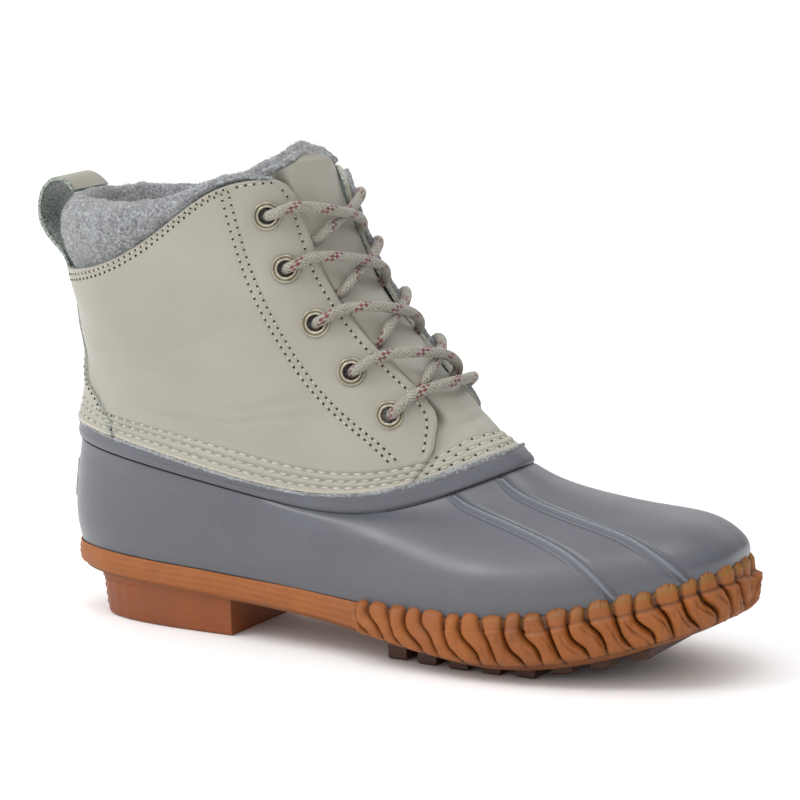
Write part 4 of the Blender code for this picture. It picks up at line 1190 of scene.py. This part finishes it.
# %% Turn the profile and set ten of them
RING_PROFILE = (
    (2.95, -2.5), (3.35, -2.5), (3.4, 0.0), (3.9, -0.05), (4.9, -0.05), (5.4, 0.05), (5.58, 0.3), (5.5, 0.62),
    (5.25, 0.82), (4.98, 0.8), (4.8, 0.55), (4.66, 0.22), (4.5, 0.2), (4.38, 0.6), (4.2, 1.1), (3.9, 1.42),
    (3.5, 1.42), (3.2, 1.15), (3.0, 0.6), (2.93, 0.0),
)
RING_SIDES = 48
out_from_axis, along_axis = np.array(RING_PROFILE).T
ring_angles = 2.0 * np.pi * np.arange(RING_SIDES)[:, None] / RING_SIDES
ring = np.stack([
    out_from_axis * np.cos(ring_angles), out_from_axis * np.sin(ring_angles),
    np.broadcast_to(along_axis, (RING_SIDES, len(RING_PROFILE))),
], axis=-1).reshape(-1, 3) * MM
ring_faces = grid_faces(RING_SIDES, len(RING_PROFILE), True, True)
ring_mesh = bpy.data.meshes.new("eyelet_shape")
ring_mesh.from_pydata(ring.tolist(), [], ring_faces.tolist())
if body_volume(ring, [ring_faces]) < 0.0:
    ring_mesh.flip_normals()
ring_mesh.shade_smooth()
ring_object = bpy.data.objects.new("eyelet_shape", ring_mesh)
bpy.context.scene.collection.objects.link(ring_object)

eyelet_tree = instance_tree(
    "eyelet_places", {"Shape": "Object"},
    {
        "way": ("GeometryNodeInputNamedAttribute", {"data_type": "FLOAT_VECTOR"}, {"Name": "way"}),
        "align": ("FunctionNodeAlignRotationToVector", {"axis": "Z"}),
        "shape": ("GeometryNodeObjectInfo",),
    },
    (
        "given.Shape shape.Object", "way.Attribute align.Vector", "given.Geometry copies.Points",
        "shape.Geometry copies.Instance", "align.Rotation copies.Rotation",
    ),
)
places = bpy.data.meshes.new("eyelet_points")
places.from_pydata([tuple((centre - 0.35 * out) * MM) for centre, out in eyelets], [], [])
ways = places.attributes.new("way", "FLOAT_VECTOR", "POINT")
ways.data.foreach_set("vector", np.array([out for _, out in eyelets], np.float32).ravel())
eyelet_look = {"Shape": ring_object, "Material": nickel.material}
eyelet_rings = run_tree("eyelet_rings", eyelet_tree, places, eyelet_look)
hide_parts(*[f"eyelet_{side}_{number}" for side in ("out", "in") for number in range(1, 6)])
bpy.data.objects.remove(ring_object, do_unlink=True)
# %% [markdown]
# ## The tongue
# The tongue starts as a plug that is sewn into the hem and rises behind the laces. Its leather is
# smooth, its top edge is soft, and its sides sink under the facings, where the laces cross it. A flat
# plate would look stiff, so it is lofted on the shaft's rings, set in from them, and pressed at its sides.

# %% Tongue leather
TONGUE_WALL = 2.2
TONGUE_COLUMNS = 64
# Height share, the turns of the two sides, and how far under the shaft's surface
TONGUE = (
    (0.0, 131.5, 228.5, 0.3), (0.05, 136.8, 223.2, 1.3), (0.10, 142.0, 218.0, 2.8),
    (0.15, 141.0, 219.0, 3.2), (0.25, 143.0, 217.0, 3.4), (0.40, 146.0, 214.0, 3.3),
    (0.55, 146.5, 213.0, 3.2), (0.70, 147.0, 211.0, 3.1), (0.82, 146.5, 208.0, 3.1),
    (0.91, 145.5, 205.5, 3.1), (0.96, 143.0, 203.5, 3.1), (0.99, 140.5, 201.8, 3.1),
    (1.003, 141.0, 200.5, 3.1), (1.015, 147.0, 198.5, 3.1), (1.027, 153.5, 196.0, 3.1),
    (1.038, 160.0, 193.0, 3.1), (1.048, 165.5, 189.5, 3.1), (1.058, 170.5, 185.0, 3.1),
    (1.066, 174.8, 180.0, 3.1),
)
# Creases: height share, lean, depth
TONGUE_CREASES = (
    (0.20, 0.02, 0.7), (0.255, -0.015, 0.5), (0.38, 0.02, 0.45), (0.53, -0.02, 0.45), (0.68, 0.02, 0.4),
)


def tongue_grid(rows, across):
    """Height shares and turns of the tongue's surface, and how far its sides sink under the facings."""
    turns = read(TONGUE, rows)[:, None] * (1.0 - across) + read(TONGUE, rows, 2)[:, None] * across
    heights = np.broadcast_to(rows[:, None], turns.shape)
    sink = np.clip((np.abs(turns - 180.0) - 21.0) / 9.0, 0.0, 1.0)
    sink = sink * sink * (3.0 - 2.0 * sink) * 4.3 * np.clip((heights - 0.17) / 0.10, 0.0, 1.0)
    return heights, turns, sink


tongue_leather = leather_finish("tongue_leather", (150, 147, 134), (159, 156, 143), (168, 165, 152), 0.33)
tongue_rows = np.concatenate([
    np.linspace(0.0, 0.16, 26), np.linspace(0.17, 0.99, 74), np.linspace(0.996, 1.066, 14),
])
tongue_level, tongue_turns, sink = tongue_grid(tongue_rows, np.linspace(0.0, 1.0, TONGUE_COLUMNS)[None, :])
set_in = read(TONGUE, tongue_rows, 3)[:, None] + sink
tongue_steps = np.linalg.norm(np.diff(place(SHAFT, tongue_level, tongue_turns), axis=0), axis=-1)
above_hem = np.concatenate([np.zeros((1, TONGUE_COLUMNS)), np.cumsum(tongue_steps, axis=0)])
swell = sewn_hem(above_hem, 0.5, 0.25)
waves = np.sin(tongue_level * 21.0 + tongue_turns / 9.0)
swell += 0.5 * waves * np.clip((tongue_level - 0.2) * 5.0, 0.0, 1.0)
for height, lean, deep in TONGUE_CREASES:
    line_height = height + lean * (tongue_turns - 180.0) / 20.0
    crease = trough(tongue_level - line_height, deep, 0.022)
    swell += crease * np.exp(-((tongue_turns - 176.0) / 17.0) ** 2)
rim = np.clip((tongue_level - 1.045) / 0.017, 0.0, 1.0)
tongue_outer = raised(SHAFT, tongue_level, tongue_turns, swell - set_in - 0.6 * rim)
tongue_inner = raised(SHAFT, tongue_level, tongue_turns, -set_in - TONGUE_WALL + 0.4 * rim)
tongue_sections = np.concatenate([tongue_outer, tongue_inner[:, ::-1]], axis=1)
count, around = tongue_sections.shape[:2]
tongue_faces = [grid_faces(count, around, wrap_columns=True)]
tongue_faces += [quads[:, ::-1] for quads in wall_ends(count, around)]
back_face = np.zeros((count, around))
back_face[:, TONGUE_COLUMNS:] = 1.0
tongue_shade = np.zeros_like(back_face)
tongue_shade[:, :TONGUE_COLUMNS] = 0.75 * np.clip(sink / 3.4, 0.0, 1.0)
make_piece(
    "tongue_leather", tongue_sections, tongue_faces, tongue_leather, ("tongue",), "tongue",
    {"raw": np.zeros_like(back_face), "shadow": tongue_shade, "suede": back_face}, sharp=60.0,
)

plug_lines = []
for row in HEM_ROWS:
    line = [crossing(tongue_outer[:, k], above_hem[:, k], row) for k in range(1, TONGUE_COLUMNS - 1)]
    plug_lines.append(even_steps(np.array(line), SEAM_STEP))
sew("plug_stitches", plug_lines, 0.0, 4.8, 3.6, 1.1, thread.material)
sew("plug_holes", plug_lines, 2.4, 4.8, 1.15, 0.95, hole_shade.material)

# %% [markdown]
# ## Fleece
# The cuff, the tongue's roll and the lining are heather-grey fleece: a felted knit of pale and dark
# fibres. Its pile could be particle hair, but the export drops that, so the body carries soft lumps and
# a fine bump, and a Geometry Nodes tree plants short thin fibres on it that roughen the outline.

# %% Fleece finish
def fleece_finish(name, dark, middle, light):
    """Felted knit of fibres in three tones."""
    dark, middle, light = shade(*dark), shade(*middle), shade(*light)
    made = Finish(name, Roughness=0.95, Sheen_Weight=0.35, Sheen_Roughness=0.6)
    heather = made.noise(950.0, 3.0, 0.7)
    tufts = made.noise(230.0, 4.0, 0.65)
    patches = made.noise(60.0, 3.0, 0.5)
    tone = made.ramp(heather, (0.36, dark), (0.5, middle), (0.62, light))
    tone = made.mix(made.remap(tufts, 0.35, 0.65, 0.45, 0.0), tone, dark)
    tone = made.mix(made.remap(patches, 0.45, 0.7, 0.0, 0.25), tone, light)
    made.colour(tone)
    made.bump((tufts, 0.0014, 0.7), (heather, 0.0005, 0.8))
    return made.material


fleece = fleece_finish("heather_fleece", (92, 94, 97), (134, 136, 138), (172, 174, 176))
lining_fleece = fleece_finish("lining_fleece", (74, 76, 79), (106, 108, 111), (138, 140, 143))


def lumpy(piece, *layers):
    """Move a piece's vertices along their normals by seeded noise, given in millimetres."""
    mesh = piece.data
    for vertex in mesh.vertices:
        shift = sum(depth * noise.noise(vertex.co * (1.0 / (size * MM))) for size, depth in layers)
        vertex.co += vertex.normal * shift * MM
    mesh.update()


# %% Felt edge that shows under the hem
FELT_SIDES = 12
felt_turns = np.arange(0.0, 360.0, 0.6)
felt_out = facing_out(SHAFT, 0.0, felt_turns)
felt_radius = 0.75 + 0.75 * np.exp(-((fold(felt_turns) - 150.0) / 24.0) ** 2)
felt_middle = raised(SHAFT, 0.0, felt_turns, 0.45) + (0.0, 0.0, -0.8)
felt_angles = 2.0 * np.pi * np.arange(FELT_SIDES)[:, None] / FELT_SIDES
felt_spokes = np.cos(felt_angles) * felt_out[:, None, :] + np.sin(felt_angles) * np.array((0.0, 0.0, 1.0))
felt_points = felt_middle[:, None, :] + felt_radius[:, None, None] * felt_spokes
felt_faces = [grid_faces(len(felt_turns), FELT_SIDES, True, True)]
felt_edge = make_piece("felt_edge", felt_points, felt_faces, fleece, slot="leather")
lumpy(felt_edge, (2.6, 0.4), (1.2, 0.3))

# %% Padded cuff
# Turn, rise above the leather, bulge, depth inwards, and how far it is tucked in
CUFF = (
    (0.0, 31.0, 4.3, 13.0, 12.0), (35.0, 29.5, 4.0, 13.0, 12.0), (60.0, 23.0, 3.2, 13.0, 12.0),
    (85.0, 15.0, 1.8, 12.0, 11.0), (98.0, 9.0, 0.4, 10.0, 9.0), (110.0, 4.5, -0.8, 8.0, 6.0),
    (125.0, 3.0, -1.2, 6.6, 5.0), (146.0, 2.6, -1.4, 6.0, 5.0),
)
CUFF_END = 146.0
cuff_turns = np.linspace(-CUFF_END, CUFF_END, 300)
cuff_edge = place(SHAFT, 1.0, cuff_turns)
cuff_normal = unit(facing_out(SHAFT, 1.0, cuff_turns) * (1.0, 1.0, 0.0))
cuff_below = place(SHAFT, 0.97, cuff_turns)
cuff_sections = []
for i, turn in enumerate(np.abs(cuff_turns)):
    rise, bulge, depth, tuck = (float(read(CUFF, turn, column)) for column in (1, 2, 3, 4))
    rise += 1.2 + 2.0 * math.exp(-((turn - 62.0) / 22.0) ** 2)
    bulge *= 0.7
    if cuff_turns[i] < 0.0:
        rise += 8.5 * min(1.0, max(0.0, (turn - 70.0) / 45.0)) * min(1.0, max(0.0, (142.0 - turn) / 26.0))
    else:
        rise = max(0.4, rise * min(1.0, (142.0 - turn) / 16.0))
    face = -LEATHER - 0.5
    profile = (
        (face - 0.3, -tuck), (face, -0.5 * tuck), (face, 0.0), (face + 1.2, 0.07 * rise + 0.4),
        (0.3 * bulge - 0.8, 0.20 * rise + 0.4), (0.7 * bulge, 0.38 * rise), (bulge, 0.60 * rise),
        (0.5 * bulge - 0.6, 0.82 * rise), (-0.35 * depth, rise), (-0.75 * depth, 0.93 * rise),
        (-depth, 0.62 * rise), (-depth, 0.20 * rise), (-0.85 * depth, -0.45 * tuck), (face - 2.0, -tuck),
    )
    slant = (cuff_edge[i] - cuff_below[i]) / max(cuff_edge[i][2] - cuff_below[i][2], 0.1)
    ring = []
    for out, up in profile:
        lean = slant * up if up < 0.0 else np.array((0.0, 0.0, up))
        ring.append(cuff_edge[i] + cuff_normal[i] * out + lean)
    ring = np.array(ring)
    for _ in range(2):
        after = np.roll(ring, -1, axis=0)
        ring = np.stack([0.75 * ring + 0.25 * after, 0.25 * ring + 0.75 * after], axis=1).reshape(-1, 3)
    cuff_sections.append(ring)
fleece_cuff = make_piece("fleece_cuff", *closed_strip(cuff_sections), fleece, ("collar",), "fleece")
lumpy(fleece_cuff, (9.0, 0.8), (3.2, 0.55), (1.4, 0.3))

# %% Roll on the tongue's top, and fleece behind it
# Height share and turn of the roll's middle line
ROLL = (
    (0.985, 136.5), (1.004, 141.5), (1.017, 147.5), (1.029, 153.5), (1.040, 160.0),
    (1.050, 165.5), (1.060, 170.5), (1.066, 175.0), (1.066, 178.0), (1.062, 180.5),
)
roll_line = smooth_curve(np.arange(len(ROLL)), ROLL, np.linspace(0.0, len(ROLL) - 1.0, 110))


def tube_points(line, radius, sides):
    """Rings round a line, whose frame turns as little as possible; the radius may change point by point."""
    ahead = unit(np.gradient(line, axis=0))
    side = unit(np.cross(ahead[0], (0.0, 0.0, 1.0)))
    angles = 2.0 * np.pi * np.arange(sides)[:, None] / sides
    radius = np.broadcast_to(radius, (len(line), sides))[..., None]
    rings = np.empty((len(line), sides, 3))
    for i, way in enumerate(ahead):
        side = unit(side - way * np.dot(side, way))
        spokes = np.cos(angles) * side + np.sin(angles) * np.cross(way, side)
        rings[i] = line[i] + spokes * radius[i]
    return rings


roll_sink = np.clip((158.0 - roll_line[:, 1]) / 9.0, 0.0, 1.0)
roll_path = raised(SHAFT, roll_line[:, 0], roll_line[:, 1], -6.3 - 3.6 * roll_sink) + (0.0, 0.0, 0.9)
tongue_roll = make_piece("tongue_roll", *closed_strip(tube_points(roll_path, 1.9, 20)), fleece, slot="fleece")
lumpy(tongue_roll, (5.0, 0.6), (2.0, 0.5))
piping_rows = np.linspace(0.2, 0.985, 160)
piping_path = raised(SHAFT, piping_rows, 362.2 - read(FACING_EDGE, piping_rows), 0.6)
piping_tube = closed_strip(tube_points(piping_path, 1.35, 14))
far_piping = make_piece("far_piping", *piping_tube, fleece, slot="fleece")
lumpy(far_piping, (4.0, 0.4), (1.6, 0.35))
back_rows = np.linspace(0.35, 1.052, 40)
back_level, back_turns, back_sink = tongue_grid(back_rows, np.linspace(0.03, 0.97, 30)[None, :])
back_in = read(TONGUE, back_rows, 3)[:, None] + TONGUE_WALL + 0.25 + back_sink
back_outer = raised(SHAFT, back_level, back_turns, -back_in)
back_inner = raised(SHAFT, back_level, back_turns, -back_in - 2.4)
backing = closed_strip(np.concatenate([back_outer, back_inner[:, ::-1]], axis=1))
make_piece("tongue_backing", *backing, lining_fleece, slot="tongue", sharp=60.0)

# %% Linings and footbed
lining_turns = np.linspace(-146.0, 146.0, 180)
lining_top = np.interp(np.abs(lining_turns), (0.0, 85.0, 110.0, 146.0), (0.77, 0.84, 0.90, 0.93))
lining_level = np.linspace(0.03, 1.0, 40)[:, None] * lining_top[None, :]
low_part = np.clip((0.24 - lining_level) / 0.06, 0.0, 1.0)
near_throat = np.clip((np.abs(lining_turns)[None, :] - 116.0) / 8.0, 0.0, 1.0)
lining_in = 2.7 + 2.3 * low_part + 3.4 * low_part * near_throat
lining_outer = raised(SHAFT, lining_level, lining_turns[None, :], -lining_in)
lining_inner = raised(SHAFT, lining_level, lining_turns[None, :], -lining_in - 2.0)
lining = closed_strip(np.concatenate([lining_outer, lining_inner[::-1]]).transpose(1, 0, 2))
shaft_lining = make_piece("shaft_lining", *lining, lining_fleece, slot="fleece", sharp=60.0)
lumpy(shaft_lining, (6.0, 0.25))
FOOT_ROWS, FOOT_COLUMNS = 28, 180
foot_turns = np.linspace(0.0, 360.0, FOOT_COLUMNS, endpoint=False)[None, :]
foot_level = np.linspace(0.04, 0.94, FOOT_ROWS)[:, None]
foot_outer = raised(SHELL, foot_level, foot_turns, -2.7)
foot_inner = raised(SHELL, foot_level, foot_turns, -4.4)
foot_faces = [grid_faces(2 * FOOT_ROWS, FOOT_COLUMNS, True, True)]
foot_points = np.concatenate([foot_outer, foot_inner[::-1]])
make_piece("foot_lining", foot_points, foot_faces, lining_fleece, slot="fleece", sharp=60.0)

INSOLE_CLEARANCE = 4.8
INSOLE_THICKNESS = 4.5
footbed_row = SHELL[0].copy()
footbed_row[0] += INSOLE_CLEARANCE
footbed_row[1] -= INSOLE_CLEARANCE
footbed_row[7:15] -= INSOLE_CLEARANCE
footbed_turns = (np.arange(120) + 0.5) * 180.0 / 120
lateral = ring_points(np.tile(footbed_row, (120, 1)), footbed_turns)
medial = ring_points(np.tile(footbed_row, (120, 1)), 360.0 - footbed_turns)
bed_across = np.linspace(0.0, 1.0, 24)[:, None]
bed_sections = []
for left, right in zip(lateral, medial):
    line = left * (1.0 - bed_across) + right * bed_across
    edge = np.minimum(bed_across, 1.0 - bed_across) * abs(right[1] - left[1])
    thick = INSOLE_THICKNESS - 1.6 * np.exp(-edge / 1.5) - 0.8 * np.clip(edge / 12.0, 0.0, 1.0)
    top = line + (GAP + thick) * (0.0, 0.0, 1.0)
    bed_sections.append(np.concatenate([top, (line + (0.0, 0.0, GAP))[::-1]]))
make_piece("footbed", *closed_strip(bed_sections), lining_fleece, ("insole",), "insole", sharp=60.0)

# %% [markdown]
# ## Pull loop
# A strap of leather, 25 mm wide, is folded at the back so that a finger can pull the boot on. Its flesh
# side shows inside the loop as green-grey suede. It could be an extruded curve, but the strap is cupped
# round the heel at its foot, so its sections are swept along the path one by one.

# %% Pull loop
LOOP_PATH = (
    (-59.8, 136.0), (-60.3, 140.5), (-62.6, 145.5), (-67.2, 151.0), (-71.0, 157.4), (-72.0, 163.6),
    (-70.6, 170.0), (-66.8, 175.0), (-62.0, 176.6), (-57.3, 175.2), (-53.3, 171.9),
)
LOOP_HALF_WIDTH = 12.5
LOOP_THICKNESS = 1.9
LOOP_CUP = 2.6
LOOP_ROWS, LOOP_COLUMNS = 130, 25
loop_steps = np.linspace(0.0, len(LOOP_PATH) - 1.0, LOOP_ROWS)
loop_line = smooth_curve(np.arange(len(LOOP_PATH)), LOOP_PATH, loop_steps)
loop_ahead = unit(np.gradient(loop_line, axis=0))
y = np.linspace(-1.0, 1.0, LOOP_COLUMNS)
soft_edge = 0.35 * np.clip((np.abs(y) - 0.93) / 0.07, 0.0, 1.0) ** 2
loop_sections = []
for step, (x, z), (way_x, way_z) in zip(loop_steps, loop_line, loop_ahead):
    ripple = 0.25 * np.sin(step * 2.1 + y * 2.0) + 0.2 * y * y * math.sin(step * 1.3)
    cupped = x + LOOP_CUP * max(0.0, 1.0 - step / 4.0) * y ** 2
    outside, inside = [
        np.column_stack([cupped + way_z * inward, y * LOOP_HALF_WIDTH, z - way_x * inward])
        for inward in (soft_edge + ripple * 0.5, LOOP_THICKNESS - soft_edge + ripple * 0.3)
    ]
    loop_sections.append(np.concatenate([outside, inside[::-1]]))
loop_suede = np.zeros((LOOP_ROWS, 2 * LOOP_COLUMNS))
loop_suede[:, LOOP_COLUMNS:] = 1.0
loop_suede[:, [0, LOOP_COLUMNS - 1]] = 0.9
flat_marks = np.zeros_like(loop_suede)
make_piece(
    "pull_strap", *closed_strip(loop_sections), strap_leather, ("pull_loop",), "strap",
    {"suede": loop_suede, "raw": flat_marks, "shadow": flat_marks}, sharp=50.0,
)

# %% [markdown]
# ## The lace
# One round braid, 4 mm thick, runs through all ten eyelets: it starts inside the near top eyelet,
# crosses over and dives under the far facing four times, runs straight across at the bottom and climbs
# back. It could be nine separate strands, but then the turns under the facings would be missing from
# above. Its braid could be a bump map; here each yarn lifts the tube, so the outline is braided too.

# %% Lace finish
cord_finish = Finish("braided_lace", Roughness=0.82, Sheen_Weight=0.25)
fibre = cord_finish.noise(1400.0, 2.0)
yarn = cord_finish.ramp(fibre, (0.35, shade(134, 130, 118)), (0.65, shade(168, 164, 152)))
red_yarn = cord_finish.ramp(fibre, (0.35, shade(96, 28, 42)), (0.65, shade(126, 44, 58)))
yarn = cord_finish.mix(cord_finish.mark("fleck"), yarn, red_yarn)
# Painted shade: darker colour in the hollows between the yarns
yarn = cord_finish.mix(cord_finish.mark("valley"), yarn, shade(70, 67, 58))
cord_finish.colour(yarn)
cord_finish.bump((fibre, 0.00012, 0.5))

# %% Route through the ten eyelets
LACE_RADIUS = 1.98


def strand(number, side):
    """Route of one strand, from under its own eyelet to under the other facing; turns mirror by side."""
    height = EYELET_HEIGHTS[number]
    under = 0.5 * (height + EYELET_HEIGHTS[number + 1])
    # The strand from the near side crosses on top of the other one
    before, middle, after = (4.0, 4.6, 2.5) if side > 0 else (2.7, 0.7, 1.1)
    stops = (
        (136.6, 0.05, -5.2), (137.9, 0.0, -1.0), (140.6, -0.04, 2.9), (145.4, -0.14, 4.1),
        (151.8, -0.22, 3.9), (161.3, -0.12, before), (176.0, 0.24, middle), (188.0, 0.62, after),
        (196.2, 0.94, 0.0), (201.2, 1.06, -3.4), (210.0, 1.10, -5.6),
    )
    return [
        (height - (height - under) * share, turn if side > 0 else 360.0 - turn, away)
        for turn, share, away in stops
    ]


# Bottom bar: turn, climb in height share, distance from the leather
BAR = (
    (136.6, 0.0, -5.2), (137.9, 0.0, -1.0), (140.6, 0.01, 2.9), (145.4, 0.03, 4.1), (153.3, 0.05, 3.6),
    (166.0, 0.055, 2.5), (180.0, 0.05, 2.3), (194.0, 0.045, 2.5), (206.7, 0.035, 3.4), (214.6, 0.02, 4.1),
    (219.4, 0.008, 2.9), (222.1, 0.0, -1.0), (223.4, 0.0, -5.2),
)
bar = [(EYELET_HEIGHTS[4] + climb, turn, away) for turn, climb, away in BAR]
route = strand(0, 1) + strand(1, -1) + strand(2, 1) + strand(3, -1) + bar
route += strand(3, 1)[::-1] + strand(2, -1)[::-1] + strand(1, 1)[::-1] + strand(0, -1)[::-1]
route = np.array(route)
stops = raised(SHAFT, route[:, 0], route[:, 1], route[:, 2])
knots = np.concatenate([[0.0], np.cumsum(np.sqrt(np.linalg.norm(np.diff(stops, axis=0), axis=1)))])
fine = smooth_curve(knots, stops, np.linspace(0.0, knots[-1], 9000))
LACE_STEP = 0.36
lace_line = even_steps(fine, LACE_STEP)
along = LACE_STEP * np.arange(len(lace_line))[:, None]
print("lace runs", round(running_length(fine)[-1]), "mm")

# %% Braid it
LACE_SIDES = 32
YARNS = 8
YARN_PITCH = 1.94
spin = np.arange(LACE_SIDES)[None, :] / LACE_SIDES
one_way = YARNS * spin + along / YARN_PITCH
other_way = YARNS * spin - along / YARN_PITCH
first_on_top = (np.floor(one_way) + np.floor(other_way)) % 2 < 0.5
within_one = one_way - np.floor(one_way)
within_other = other_way - np.floor(other_way)
round_yarn = np.where(first_on_top, np.sin(np.pi * within_one), np.sin(np.pi * within_other))
along_yarn = np.where(first_on_top, np.sin(np.pi * within_other), np.sin(np.pi * within_one))
weave = np.clip(round_yarn, 0.0, 1.0) ** 0.7 * (0.55 + 0.45 * np.clip(along_yarn, 0.0, 1.0))
fleck = first_on_top & (np.floor(one_way) % 8 < 2)
lace_tube = closed_strip(tube_points(lace_line, LACE_RADIUS - 0.10 + 0.28 * weave, LACE_SIDES))
make_piece(
    "braided_lace", *lace_tube, cord_finish.material,
    ("lace_cross_1", "lace_cross_2", "lace_cross_3", "lace_cross_4", "lace_bar"), "lace",
    {"fleck": fleck.astype(float), "valley": np.clip(0.95 - 1.5 * weave, 0.0, 0.85)},
)

# %% [markdown]
# ## Fleece fibres
# Short fibres stand on the cuff and on the tongue's roll. The tree scatters points on the fleece with a
# fixed seed, sets a thin three-sided cone on each, leans it away from the surface at random, and makes
# all of them real, because the export keeps only real faces.

# %% Fibre tree
CONE = {"Vertices": 3, "Radius Top": 0.00001}
LEAN = {0: (-1.15, -1.15, -3.1), 1: (1.15, 1.15, 3.1), "Seed": 3}
VARY = {2: 0.5, 3: 1.25, "Seed": 7}
fibre_tree = instance_tree(
    "fleece_fibres", {"Density": "Float", "Length": "Float", "Thickness": "Float"},
    {
        "scatter": ("GeometryNodeDistributePointsOnFaces", {}, {"Seed": 11}),
        "cone": ("GeometryNodeMeshCone", {"fill_type": "NONE"}, CONE),
        "lean": ("FunctionNodeRandomValue", {"data_type": "FLOAT_VECTOR"}, LEAN),
        "turned": ("FunctionNodeRotateRotation", {"rotation_space": "LOCAL"}),
        "lean_turn": ("FunctionNodeEulerToRotation",),
        "vary": ("FunctionNodeRandomValue", {"data_type": "FLOAT"}, VARY),
    },
    (
        "given.Geometry scatter.Mesh", "given.Density scatter.Density", "given.Length cone.Depth",
        "given.Thickness cone.Radius_Bottom", "scatter.Rotation turned.Rotation", "lean.0 lean_turn.Euler",
        "lean_turn.Rotation turned.Rotate_By", "scatter.Points copies.Points", "cone.Mesh copies.Instance",
        "turned.Rotation copies.Rotation", "vary.1 copies.Scale",
    ),
)

# %% Plant the fibres
for name, carrier, density, long in (
    ("cuff_fibres", fleece_cuff, 950000.0, 1.5), ("roll_fibres", tongue_roll, 1100000.0, 1.3),
):
    sizes = {"Density": density, "Length": long * MM, "Thickness": 0.07 * MM, "Material": fleece}
    run_tree(name, fibre_tree, carrier.data.copy(), sizes)
